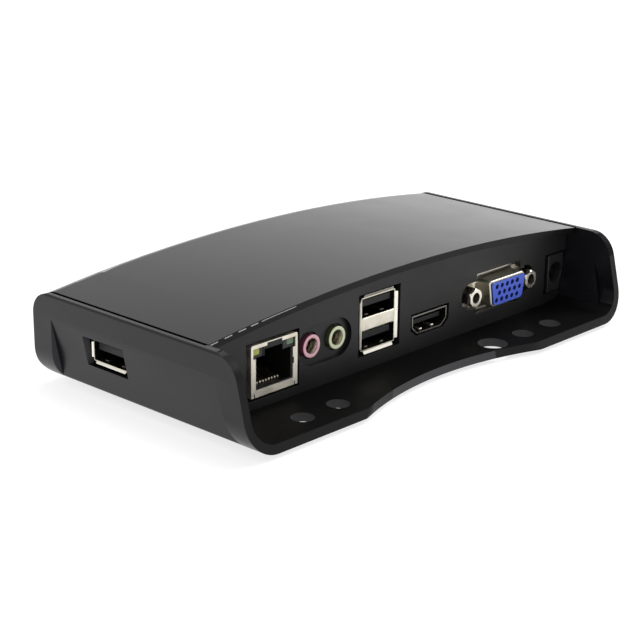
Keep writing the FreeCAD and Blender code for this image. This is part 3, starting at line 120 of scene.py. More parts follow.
# Analog video socket: the shell's width above and below and its height, in mm, the nuts' distance
# from the middle, and the pitches of the contacts.
VIDEO_TOP = 16.3
VIDEO_FOOT = 13.7
VIDEO_HEIGHT = 7.8
NUT_SPOT = 12.495 * MM
PITCH = 2.29 * MM
ROW = 1.98 * MM

# Edges that meet at more than this angle are rounded, corners nearer than this are made one, and
# places nearer than this count as the same height or depth.
SHARP = math.radians(30)
WELD = 0.000002
NEAR = 0.01 * MM


def linear(code):
    """An sRGB hex colour as linear RGBA."""
    shares = [int(code[i:i + 2], 16) / 255 for i in (1, 3, 5)]
    return tuple(c / 12.92 if c <= 0.04045 else ((c + 0.055) / 1.055) ** 2.4 for c in shares) + (1.0,)


def low(node):
    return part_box(node)[0]


def high(node):
    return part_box(node)[1]


def middle(node):
    """The middle of a CAD node's box."""
    lo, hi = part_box(node)
    return [(one + other) / 2 for one, other in zip(lo, hi)]


# Sizes and colours that a user may change


def length(name, description, default, least, most):
    """A length in metres that a user may change."""
    return bpy.props.FloatProperty(
        name=name, description=description, default=default, min=least, max=most, unit="LENGTH")


def tint(name, description, code):
    """A colour that a user may change."""
    return bpy.props.FloatVectorProperty(
        name=name, description=description, subtype="COLOR", size=4, default=linear(code), min=0, max=1)


class CaseSettings(bpy.types.PropertyGroup):
    shell_edge: length("Tray edge", "Rounding of the moulded tray's edges", 0.00028, 0.00005, 0.0006)
    cover_edge: length("Cover edge", "Rounding of the cover's edges", 0.00022, 0.00005, 0.0006)
    bead: length("Cover bead", "Radius of the bead along the cover's rear edge", 0.00016, 0.00005, 0.0004)
    plastic: tint("Tray plastic", "Colour of the moulded tray", "#0f0f13")
    cover: tint("Cover plastic", "Colour of the arched cover", "#0d0d0e")
    panel: tint("Panel plastic", "Colour of the socket panel", "#151515")


class SocketSettings(bpy.types.PropertyGroup):
    sheet_edge: length("Sheet edge", "Rounding of stamped sheet metal", 0.00010, 0.00002, 0.0002)
    collar: length("Collar radius", "Outer radius of the audio sockets' collars", 0.0030, 0.0026, 0.0032)
    hole: length("Contact hole", "Radius of the video socket's contact holes", 0.00068, 0.0004, 0.0009)
    plating: tint("Plating", "Nickel plating of the socket shells", "#ddd9cc")
    insert: tint("Video insert", "Insulator of the analog video socket", "#3957cc")
    mic: tint("Microphone collar", "Collar of the microphone socket", "#dfaab6")
    phones: tint("Headphone collar", "Collar of the headphone socket", "#cfd6b2")


# Finishes


def add(tree, kind, values=None, links=None, **settings):
    """A shader node with its settings, the values of its sockets and what feeds them."""
    made = tree.nodes.new(kind)
    for name, value in settings.items():
        setattr(made, name, value)
    for name, value in (values or {}).items():
        made.inputs[name].default_value = value
    for name, source in (links or {}).items():
        tree.links.new(source, made.inputs[name])
    return made


def started(name, sockets):
    """A new material, its tree, its shader and the object's own coordinates in metres."""
    made = bpy.data.materials.new(name)
    made.use_nodes = True
    tree = made.node_tree
    tree.nodes.clear()
    shader = add(tree, "ShaderNodeBsdfPrincipled", values=sockets)
    add(tree, "ShaderNodeOutputMaterial", links={"Surface": shader.outputs[0]})
    place = add(tree, "ShaderNodeTexCoord").outputs["Object"]
    return made, tree, shader, place


def noise(tree, place, size_mm, detail=2.0, roughness=0.5):
    """A noise with grains of about this size."""
    values = {"Scale": 1 / (size_mm * MM), "Detail": detail, "Roughness": roughness}
    return add(tree, "ShaderNodeTexNoise", values, {"Vector": place}).outputs["Fac"]


def bumped(tree, shader, height, strength, relief_mm):
    """A pattern as relief on the surface."""
    bump = add(tree, "ShaderNodeBump", {"Strength": strength, "Distance": relief_mm * MM}, {"Height": height})
    tree.links.new(bump.outputs["Normal"], shader.inputs["Normal"])


def spread(tree, shader, source, lowest, highest):
    """A pattern's middle stretch, mapped between two values, as roughness."""
    made = add(tree, "ShaderNodeMapRange",
               {"From Min": 0.3, "From Max": 0.7, "To Min": lowest, "To Max": highest}, {"Value": source})
    tree.links.new(made.outputs["Result"], shader.inputs["Roughness"])


def blended(tree, shader, source, one, shares):
    """A colour mixed by a pattern with a share of itself."""
    made = add(tree, "ShaderNodeMix", data_type="RGBA")
    made.inputs["A"].default_value = one
    made.inputs["B"].default_value = [c * share for c, share in zip(one, shares)] + [1.0]
    tree.links.new(source, made.inputs["Factor"])
    tree.links.new(made.outputs["Result"], shader.inputs["Base Color"])


def moulded(name, colour, rough, grain_mm, depth, sockets):
    """Moulded plastic: the tool's spark-eroded grain as a fine bump, handling marks in the gloss."""
    made, tree, shader, place = started(name, sockets)
    grain = noise(tree, place, grain_mm, 3.0, 0.6)
    bumped(tree, shader, grain, depth, 0.02)
    marks, mottle = noise(tree, place, 14, 5.0), 0.12
    spread(tree, shader, marks, rough * (1 - mottle), rough * (1 + mottle))
    blended(tree, shader, grain, colour, (0.8, 0.8, 0.8))
    return made


def plated(name, colour, rough, stretch, depth):
    """Plated metal: rolling or turning lines drawn out along one way, with a faint tarnish."""
    made, tree, shader, place = started(name, {"Metallic": 1.0})
    drawn = add(tree, "ShaderNodeMapping", {"Scale": stretch}, {"Vector": place})
    bumped(tree, shader, noise(tree, drawn.outputs["Vector"], 0.12, 3.0), depth, 0.01)
    tarnish = noise(tree, place, 3, 4.0)
    spread(tree, shader, tarnish, rough * 0.8, rough * 1.25)
    blended(tree, shader, tarnish, colour, (0.92, 0.90, 0.85))
    return made


def rgba(colour):
    """A hex colour or a setting as linear RGBA."""
    return linear(colour) if isinstance(colour, str) else tuple(colour)


def make_finishes():
    """Every finish by its short name."""
    case = bpy.context.scene.thin_client_case
    ports = bpy.context.scene.thin_client_sockets
    gloss = {"IOR": 1.53}
    matt = {"IOR": 1.50, "Specular IOR Level": 0.4}
    dull = {"IOR": 1.50, "Specular IOR Level": 0.14}
    rubber = {"IOR": 1.41}
    epoxy = {"IOR": 1.55, "Subsurface Weight": 0.2, "Subsurface Scale": 0.0004}
    # short name, full name, colour, roughness, grain in mm, its depth and the shader's other values
    plastics = [
        # ABS from a polished tool: deep black with a clear but soft reflection.
        ("tray", "polished ABS, tray", case.plastic, 0.30, 0.45, 0.10,
         {"IOR": 1.53, "Specular IOR Level": 0.33}),
        # The rear rims of the walls get a darker, duller copy of the tray plastic: painted shade.
        ("tray_end", "parting face, tray", "#0b0b0d", 0.45, 0.30, 0.30, dull),
        # The lip is sparked all over, and under the plugs it is given nearly no reflection: painted shade of
        # the bay. The same finish paints shadow into the gap by the cover and shade onto the far wall's rim.
        ("lip", "sparked ABS, lip", "#090909", 0.50, 0.30, 0.35, {"IOR": 1.50, "Specular IOR Level": 0.05}),
        # Upright faces are painted grey: painted light on the steps of the end panels, and on the walls of
        # the lip's holes standing for the floor seen through them.
        ("step", "sparked ABS, steps", "#404044", 0.55, 0.30, 0.35, matt),
        ("hole", "sparked ABS, walls of the holes", "#3c3c3e", 0.55, 0.30, 0.35, dull),
        # ABS with a silk finish: the reflection of the room spreads into one smooth gradient.
        ("cover", "silk ABS, cover", case.cover, 0.20, 0.35, 0.10, {"IOR": 1.52, "Specular IOR Level": 0.5}),
        # The cover's rear face: a darker, duller copy of the cover plastic as painted shade.
        ("cover_end", "parting face, cover", "#0b0b0b", 0.35, 0.30, 0.25, dull),
        # A fine bead painted light grey: a painted highlight, a thin bright line under the cover's edge.
        ("bead", "burnished ABS, bead", "#a6a6a8", 0.20, 0.30, 0.03, {"IOR": 1.8}),
        # The panel is the dullest face, with a fine spark-eroded grain.
        ("panel", "fine-grained ABS, panel", case.panel, 0.45, 0.30, 0.35,
         {"IOR": 1.50, "Specular IOR Level": 0.33}),
        ("bezel", "polished ABS, bezel", "#0c0c0e", 0.16, 0.5, 0.06, gloss),
        ("button", "satin ABS, button", "#1b1b1e", 0.30, 0.3, 0.15, gloss),
        # Glass-filled insulator: matt black, a little speckled.
        ("dark", "glass-filled nylon, black", "#0b0b0b", 0.50, 0.20, 0.4, matt),
        ("frame", "glass-filled nylon, grey", "#2b282d", 0.40, 0.20, 0.3, matt),
        ("blue", "PBT, blue insert", ports.insert, 0.42, 0.25, 0.2, gloss),
        # The insert's sides and the walls of its contact holes are darker blue: painted shade.
        ("blue_side", "PBT, blue insert's side", "#22346e", 0.45, 0.25, 0.2, matt),
        # The collars' barrels are painted deeper in colour than their printed faces: painted shade of the
        # recess round them.
        ("pink", "PBT, pink collar", ports.mic, 0.28, 0.25, 0.1, gloss),
        ("lime", "PBT, lime collar", ports.phones, 0.28, 0.25, 0.1, gloss),
        ("pink_side", "PBT, pink barrel", "#5b303c", 0.40, 0.25, 0.1, dull),
        ("lime_side", "PBT, lime barrel", "#3c4129", 0.40, 0.25, 0.1, dull),
        # The power inlet is a little greyer than the other insulators.
        ("inlet", "glass-filled nylon, inlet", "#1e1e20", 0.36, 0.20, 0.3, gloss),
        ("rubber", "silicone rubber, feet", "#161616", 0.75, 0.5, 0.6, rubber),
        ("clear", "acrylic, light pipe", "#dfe7ea", 0.08, 0.6, 0.03,
         {"IOR": 1.49, "Transmission Weight": 0.85}),
        # Link lights are unlit: tinted, milky epoxy.
        ("lamp_yellow", "tinted epoxy, yellow-green", "#a3a83c", 0.2, 0.3, 0.05, epoxy),
        ("lamp_green", "tinted epoxy, green", "#5b7558", 0.2, 0.3, 0.05, epoxy),
        # Black solder mask: only a trace of the green glass cloth comes through.
        ("board", "solder mask, board", "#0c120e", 0.30, 1.6, 0.3, matt),
        ("chip", "epoxy, chips", "#1c1c1e", 0.55, 0.25, 0.4, {"IOR": 1.55}),
        ("ferrite", "ferrite, inductors", "#3a3a3c", 0.6, 0.3, 0.5, {"IOR": 1.6}),
        ("pad", "silicone pad", "#8d9096", 0.8, 0.5, 0.5, rubber),
    ]
    # short name, full name, colour, roughness, how the lines are drawn out, and their depth
    metals = [
        # Nickel plate on stamped steel goes slightly beige, with the mill's rolling lines.
        ("sheet", "nickel plate, stamped", ports.plating, 0.34, (1, 1, 7), 0.06),
        # Faces that light reaches only sideways look satin: the plate's fine scratches spread it.
        ("satin", "nickel plate, satin", "#efeade", 0.52, (1, 1, 7), 0.05),
        # Cut and bent-out edges are burnished by the die, and painted lighter still: a painted highlight.
        ("bright", "nickel plate, burnished edge", "#f6f3ea", 0.36, (1, 1, 1), 0.03),
        # The digital video shell is a duller tin plate, and its throat lies in the dark: throats, bores and
        # deep pins get a dark tin plate as painted shade.
        ("tin", "dull tin plate", "#8f8d88", 0.32, (1, 1, 7), 0.12),
        ("throat", "tin plate in the throat", "#302d29", 0.50, (1, 1, 7), 0.2),
        ("nut", "bright nickel, turned", "#ece7dc", 0.20, (1, 14, 1), 0.1),
        ("gold", "gold flash, contacts", "#cdbd92", 0.25, (1, 6, 1), 0.08),
        ("pin", "tin plate, pins", "#77756f", 0.35, (1, 8, 1), 0.1),
        ("black_screw", "black oxide, screws", "#3a3a3c", 0.38, (1, 1, 1), 0.15),
        ("zinc", "zinc plate, screws", "#bfc2c4", 0.32, (1, 1, 1), 0.15),
        ("can", "drawn aluminium, cans", "#d2d4d6", 0.25, (1, 1, 10), 0.12),
        ("sink", "extruded aluminium, heat sink", "#c9ccd0", 0.38, (12, 1, 12), 0.15),
    ]
    made = {}
    for short, name, colour, *values in plastics:
        made[short] = moulded(name, rgba(colour), *values)
    for short, name, colour, *values in metals:
        made[short] = plated(name, rgba(colour), *values)
    return made


FINISH = {}


def wear(piece, finish):
    """Give a piece one finish all over."""
    piece.data.materials.clear()
    piece.data.materials.append(FINISH[finish])
    return piece


def faced(piece, finish, test):
    """Give the faces whose centre and normal pass a test another finish."""
    piece.data.materials.append(FINISH[finish])
    index = len(piece.data.materials) - 1
    for face in piece.data.polygons:
        if test(face.center, face.normal):
            face.material_index = index
    return piece


# Shaping


def only(piece):
    """Select this piece alone."""
    bpy.ops.object.select_all(action="DESELECT")
    piece.select_set(True)
    bpy.context.view_layer.objects.active = piece


def smooth(piece, angle):
    """Shade a piece smoothly, apart from edges sharper than an angle in radians."""
    only(piece)
    bpy.ops.object.shade_smooth_by_angle(angle=angle)


def whole(piece):
    """Select all of a piece, and stay in edit mode."""
    only(piece)
    bpy.ops.object.mode_set(mode="EDIT")
    bpy.ops.mesh.select_all(action="SELECT")


def done():
    """Leave edit mode."""
    bpy.ops.object.mode_set(mode="OBJECT")


def applied():
    """Move the selected piece's place, turn and scale into its mesh."""
    bpy.ops.object.transform_apply(location=True, rotation=True, scale=True)


def placed(name, operator, **settings):
    """A new piece from one of Blender's primitives."""
    bpy.ops.object.select_all(action="DESELECT")
    operator(**settings)
    piece = bpy.context.active_object
    piece.name = name
    applied()
    return piece


def rounded(piece, width, segments=2):
    """Round the sharp edges, and let the flat faces keep their shading."""
    only(piece)
    bevel = piece.modifiers.new("rounding", "BEVEL")
    bevel.width = width
    bevel.segments = segments
    bevel.limit_method = "ANGLE"
    bevel.angle_limit = SHARP
    bevel.miter_outer = "MITER_ARC"
    bpy.ops.object.modifier_apply(modifier=bevel.name)
    smooth(piece, SHARP)
    weights = piece.modifiers.new("weights", "WEIGHTED_NORMAL")
    weights.keep_sharp = True
    bpy.ops.object.modifier_apply(modifier=weights.name)
    return piece


def softened(name, node, width, finish, segments=2, cuts=(), seams=()):
    """A merged copy of a CAD node, cut by boxes and with rounded edges, which stands for it.

    Seams are places along X, and the last along Z, where its flat faces are split: a face
    that runs around an opening would otherwise close it."""
    only(NODES[node])
    bpy.ops.object.duplicate()
    piece = bpy.context.active_object
    bpy.ops.object.parent_clear(type="CLEAR_KEEP_TRANSFORM")
    for key in list(piece.keys()):
        del piece[key]
    piece.name = name
    piece.data.name = name
    whole(piece)
    bpy.ops.mesh.remove_doubles(threshold=WELD)
    bpy.ops.mesh.dissolve_limited(angle_limit=math.radians(0.5))
    for number, place in enumerate(seams):
        along = (0, 0, 1) if number == len(seams) - 1 else (1, 0, 0)
        bpy.ops.mesh.select_all(action="SELECT")
        bpy.ops.mesh.bisect(plane_co=Vector(along) * place, plane_no=along)
    done()
    for corners in cuts:
        carved(piece, block("cut", *corners))
    rounded(piece, width, segments)
    wear(piece, finish)
    return keep(piece, node)


def block(name, lo, hi):
    """A block between two corners, in metres, to be shaped further."""
    lo, hi = Vector(lo), Vector(hi)
    return placed(name, bpy.ops.mesh.primitive_cube_add, size=1, location=(lo + hi) / 2, scale=hi - lo)


def carved(piece, tool, operation="DIFFERENCE"):
    """Cut a piece by another, which is used up."""
    only(piece)
    cut = piece.modifiers.new("cut", "BOOLEAN")
    cut.operation = operation
    cut.solver = "EXACT"
    cut.object = tool
    bpy.ops.object.modifier_apply(modifier=cut.name)
    bpy.data.objects.remove(tool)
    return piece


def joined(name, pieces):
    """One piece from several."""
    only(pieces[0])
    for piece in pieces[1:]:
        piece.select_set(True)
    bpy.ops.object.join()
    made = bpy.context.active_object
    made.name = name
    made.data.name = name
    return made


def small(name, lo, hi, width, finish, segments=3):
    """A small block between two corners, rounded all over."""
    return wear(rounded(block(name, lo, hi), width, segments), finish)


def turned(name, x, z, rings, sides):
    """A ring about a line along Y: circles of (radius, y) in order, the last closing on the first."""
    piece = placed(name, bpy.ops.mesh.primitive_circle_add, vertices=sides, radius=rings[0][0],
                   location=(x, rings[0][1], z), rotation=(math.pi / 2, 0, 0))
    whole(piece)
    for (radius, y), (next_radius, next_y) in zip(rings, rings[1:] + rings[:1]):
        bpy.ops.mesh.extrude_edges_move(TRANSFORM_OT_translate={"value": (0, next_y - y, 0)})
        ratio = next_radius / radius
        bpy.ops.transform.resize(value=(ratio, 1, ratio), center_override=(x, next_y, z))
    bpy.ops.mesh.select_all(action="SELECT")
    bpy.ops.mesh.remove_doubles(threshold=WELD)
    bpy.ops.mesh.normals_make_consistent(inside=False)
    done()
    return piece


def bar(name, x, z, radius, back, front, sides=32):
    """A round or many-sided bar along Y, to be shaped or to cut with."""
    return placed(name, bpy.ops.mesh.primitive_cylinder_add, vertices=sides, radius=radius,
                  depth=front - back, location=(x, (front + back) / 2, z), rotation=(math.pi / 2, 0, 0))


def picked(piece, kind, test):
    """Select the corners, edges or faces of a piece that pass a test, and stay in edit mode."""
    whole(piece)
    bpy.ops.mesh.select_mode(type=kind)
    bpy.ops.mesh.select_all(action="DESELECT")
    done()
    mesh = piece.data
    if kind == "VERT":
        for corner in mesh.vertices:
            corner.select = test(corner.co)
    elif kind == "EDGE":
        for edge in mesh.edges:
            a, b = (mesh.vertices[i].co for i in edge.vertices)
            edge.select = test((a + b) / 2, (b - a).normalized())
    else:
        for face in mesh.polygons:
            face.select = test(face.center, face.normal)
    bpy.ops.object.mode_set(mode="EDIT")


def d_block(name, lo, hi, foot, corner, steps=6, bend=None):
    """A block along Y with a narrower foot and rounded long edges, as D-shaped sockets have.

    With a bend, its sides stand upright above that height."""
    piece = block(name, lo, hi)
    x = (lo[0] + hi[0]) / 2
    if bend is not None:
        picked(piece, "FACE", lambda centre, normal: True)
        bpy.ops.mesh.bisect(plane_co=(x, 0, bend), plane_no=(0, 0, 1))
        done()
    picked(piece, "VERT", lambda place: place.z < lo[2] + NEAR)
    bpy.ops.transform.resize(value=(foot, 1, 1), center_override=(x, 0, lo[2]))
    done()
    picked(piece, "EDGE", lambda centre, along: abs(along.y) > 0.9 and abs(centre.x - x) > 0.5 * MM)
    bevelled(corner, steps)
    return piece


def bevelled(width, segments, affect="EDGES"):
    """Bevel what is selected, and leave edit mode."""
    bpy.ops.mesh.bevel(offset=width, segments=segments, affect=affect)
    done()


def long_edges(piece, width, segments, above=-math.inf):
    """Round a block's edges along Y that lie above a height."""
    picked(piece, "EDGE", lambda centre, along: abs(along.y) > 0.9 and centre.z > above)
    bevelled(width, segments)


def hollowed(piece, rim, depth):
    """Sink the face at a block's front, leaving a rim."""
    front = max(corner.co.y for corner in piece.data.vertices)
    picked(piece, "FACE", lambda centre, normal: normal.y > 0.9 and centre.y > front - NEAR)
    bpy.ops.mesh.inset(thickness=rim)
    bpy.ops.mesh.extrude_region_move(TRANSFORM_OT_translate={"value": (0, -depth, 0)})
    done()
    return piece


def flap(span, reach, spot, turn):
    """A bent-out edge of sheet metal: a strip with round corners, from its root, turned into place."""
    piece = placed("flap", bpy.ops.mesh.primitive_plane_add, size=1, location=(0, 0.5, 0))
    piece.scale = (span, reach, 1)
    applied()
    picked(piece, "VERT", lambda place: place.y > reach / 2)
    bevelled(reach * 0.3, 3, "VERTICES")
    sheet = piece.modifiers.new("sheet", "SOLIDIFY")
    sheet.thickness = SHEET
    sheet.offset = 0
    bpy.ops.object.modifier_apply(modifier=sheet.name)
    rounded(piece, 0.07 * MM)
    piece.matrix_world = Matrix.Translation(spot) @ turn
    applied()
    # Flaps wear the lighter plate: painted highlight.
    return wear(piece, "bright")


def data_can(name, x, face, depth, floors, reach):
    """A can along Y with an opening over each floor, a folded web between two, springs and flaps."""
    inner = DATA_WIDTH / 2
    half = inner + SHEET
    bottom, top = floors[0] - SHEET, floors[-1] + DATA_HEIGHT + SHEET
    can = block(name, (x - half, face - depth, bottom), (x + half, face - 0.35 * MM, top))
    long_edges(can, 0.4 * MM, 3)
    back_wall = 1.2 * MM
    for floor in floors:
        carved(can, block("room", (x - inner, face - depth + back_wall, floor),
                                  (x + inner, face + 2 * MM, floor + DATA_HEIGHT)))
    rounded(can, 0.10 * MM)
    wear(can, "sheet")
    skin = 0.1 * MM
    # Its inside faces are painted dark: painted shade.
    faced(can, "throat", lambda centre, normal: centre.y < face - 0.6 * MM
          and abs(centre.x - x) < half - skin and bottom + skin < centre.z < top - skin)
    parts = [can]
    for floor, above in zip(floors, floors[1:]):
        parts.append(small("web", (x - inner - 0.05 * MM, face - 6 * MM, floor + DATA_HEIGHT),
                           (x + inner + 0.05 * MM, face - 0.12 * MM, above), 0.45 * MM, "sheet", 4))
    # Two springs in each floor hold the plug.
    spring_spot, spring_half = 3.1 * MM, 0.7 * MM
    for floor in floors:
        for side in (-1, 1):
            spot = x + side * spring_spot
            parts.append(small("spring", (spot - spring_half, face - 5.2 * MM, floor - 0.1 * MM),
                               (spot + spring_half, face - 1.6 * MM, floor + 0.30 * MM), 0.17 * MM, "pin"))
    middle_z, tall = (bottom + top) / 2, top - bottom
    root = face - 0.62 * MM
    for side in (1, -1):
        turn = Matrix.Rotation(side * math.pi / 2, 4, "Y") @ Matrix.Rotation(FLAP_LEAN, 4, "X")
        parts.append(flap(tall - 1.6 * MM, reach, (x + side * (half - SHEET / 2), root, middle_z), turn))
        turn = Matrix.Rotation(0 if side > 0 else math.pi, 4, "Y") @ Matrix.Rotation(FLAP_LEAN, 4, "X")
        edge = (top - SHEET / 2) if side > 0 else (bottom + SHEET / 2)
        parts.append(flap(2 * half - 1.8 * MM, reach, (x, root, edge), turn))
    return joined(name, parts)


def keep(piece, node):
    """A piece rides with the node that it stands for."""
    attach(piece, NODES[node]["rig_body"])
    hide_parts(node)
    return piece


class Piece:
    """What all the operators of this add-on share."""

    bl_options = {"REGISTER", "UNDO"}


class Softened(Piece):
    """An operator that only softens CAD nodes: its rows hold name, node, edge in mm and finish."""

    rows = ()

    def execute(self, context):
        for name, node, edge, finish in self.rows:
            softened(name, node, edge * MM, finish)
        return {"FINISHED"}


class THINCLIENT_OT_case(Piece, bpy.types.Operator):
    """Round the edges of the tray, cover, socket panel and front bezel"""

    bl_idname = "thin_client.case"
    bl_label = "Case"

    def execute(self, context):
        case = context.scene.thin_client_case
        self.tray(case.shell_edge)
        self.cover(case)
        # The panel's flat faces are split through the middle of every opening.
        openings = ("network_shield", "mic_collar", "headphone_collar", "twin_port_shell",
                    "digital_video_shell", "analog_video_shell", "power_inlet_body")
        seams = [middle(node)[0] for node in openings] + [middle("network_shield")[2]]
        softened("panel", "rear_panel", 0.2 * MM, "panel", seams=seams)
        softened("bezel", "front_bezel", 0.2 * MM, "bezel")
        return {"FINISHED"}

    def tray(self, edge):
        """The tray, with a shadow gap along the cover: a small rebate in the top of both walls."""
        side, top = high("top_cover").x, high("lower_tray").z
        cuts = []
        for end in (-1, 1):
            inner, outer = side + 0.1 * MM, side + GAP_WIDTH
            cuts.append(((min(end * inner, end * outer), low("top_cover").y + 2 * MM, top - GAP_DEPTH),
                         (max(end * inner, end * outer), high("top_cover").y, top + 1 * MM)))
        tray = softened("tray", "lower_tray", edge, "tray", segments=3, cuts=cuts)
        # The rebate's faces wear the lip's black finish: painted shadow in the gap.
        faced(tray, "lip", lambda centre, normal: side < abs(centre.x) < side + GAP_WIDTH + NEAR
              and centre.z > top - GAP_DEPTH - NEAR)
        rear, half = high("lower_tray").y, high("lower_tray").x
        # The rear rims of the walls, painted darker and duller as painted shade; the far one gets the lip's
        # painted shade, without a reflection.
        faced(tray, "tray_end", lambda centre, normal: centre.y > rear - BAY and normal.y > 0.3)
        faced(tray, "lip", lambda centre, normal: centre.y > rear - BAY and normal.y > 0.3
              and centre.x < FAR_WALL)
        # The short steps at both ends of the tucked-in end panels, painted grey as painted light.
        faced(tray, "step", lambda centre, normal: abs(centre.x) > half - TUCK and abs(normal.y) > 0.7
              and abs(normal.z) < 0.3 and abs(centre.y) < rear - 4 * MM and centre.z < TUCK_TOP)
        # The lip, with painted shade, and the walls of its holes, with painted light.
        faced(tray, "lip", lambda centre, normal: normal.z > 0.7 and centre.z < LIP_TOP)
        faced(tray, "hole", lambda centre, normal: abs(normal.z) < 0.6 and centre.z < HOLE_TOP
              and rear - HOLE_STRIP[0] < centre.y < rear - HOLE_STRIP[1] and abs(centre.x) < HOLE_REACH)

    def cover(self, case):
        """The arched cover, whose rear edge is painted darker and duller as painted shade and carries a fine
        bead painted light grey as a painted highlight.
        """
        rear, top = high("top_cover").y, high("top_cover").z
        cover = softened("cover", "top_cover", case.cover_edge, "cover", segments=3)
        # Its rear face gets the darker, duller finish: painted shade.
        faced(cover, "cover_end", lambda centre, normal: centre.y > rear - 0.3 * MM and normal.y > 0.35)
        rise = top - high("lower_tray").z
        half = high("top_cover").x
        radius = (half ** 2 + rise ** 2) / (2 * rise) - BEAD_DROP
        # The painted highlight bead is short dashes beside the network socket, which run on finer without a
        # break.
        runs = [(x, x + DASH_LENGTH, case.bead) for x in DASHES]
        runs.append((BEAD_END, DASHES[-1] - DASH_GAP, case.bead * 0.7))
        parts = []
        for start, end, thick in runs:
            angles = (math.asin(start / radius), math.asin(end / radius))
            parts.append(self.bead(radius, top - BEAD_DROP - radius, rear - thick * 0.35, thick, angles))
        bead = wear(joined("cover_highlight_bead", parts), "bead")
        smooth(bead, math.radians(40))
        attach(bead, NODES["top_cover"]["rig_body"])

    def bead(self, radius, centre_z, y, thick, angles):
        """A thin round bar along part of the arch, closed at both ends."""
        first, last = angles
        place = (radius * math.sin(first), y, centre_z + radius * math.cos(first))
        piece = placed("bead", bpy.ops.mesh.primitive_circle_add, vertices=8, radius=thick,
                       fill_type="NGON", location=place, rotation=(0, math.pi / 2 + first, 0))
        steps = max(2, int((last - first) * radius / (2.5 * MM)))
        whole(piece)
        # With no window, spin turns the other way.
        bpy.ops.mesh.spin(steps=steps, angle=first - last, center=(0, y, centre_z), axis=(0, 1, 0))
        bpy.ops.mesh.select_all(action="SELECT")
        bpy.ops.mesh.normals_make_consistent(inside=False)
        done()
        return piece


class THINCLIENT_OT_front(Softened, bpy.types.Operator):
    """The power button, its switch, the light pipe and its lamp"""

    bl_idname = "thin_client.front"
    bl_label = "Front controls"
    rows = (
        ("button", "power_button", 0.25, "button"),
        ("plunger", "switch_plunger", 0.15, "button"),
        ("switch", "switch_body", 0.2, "dark"),
        ("light_pipe", "status_light_pipe", 0.2, "clear"),
        ("light_holder", "status_led", 0.2, "dark"),
    )


class THINCLIENT_OT_underside(Softened, bpy.types.Operator):
    """Rubber feet and case screws"""

    bl_idname = "thin_client.underside"
    bl_label = "Underside"
    rows = (
        ("feet", "rubber_feet", 0.3, "rubber"),
        ("screws", "case_screws", 0.1, "black_screw"),
    )


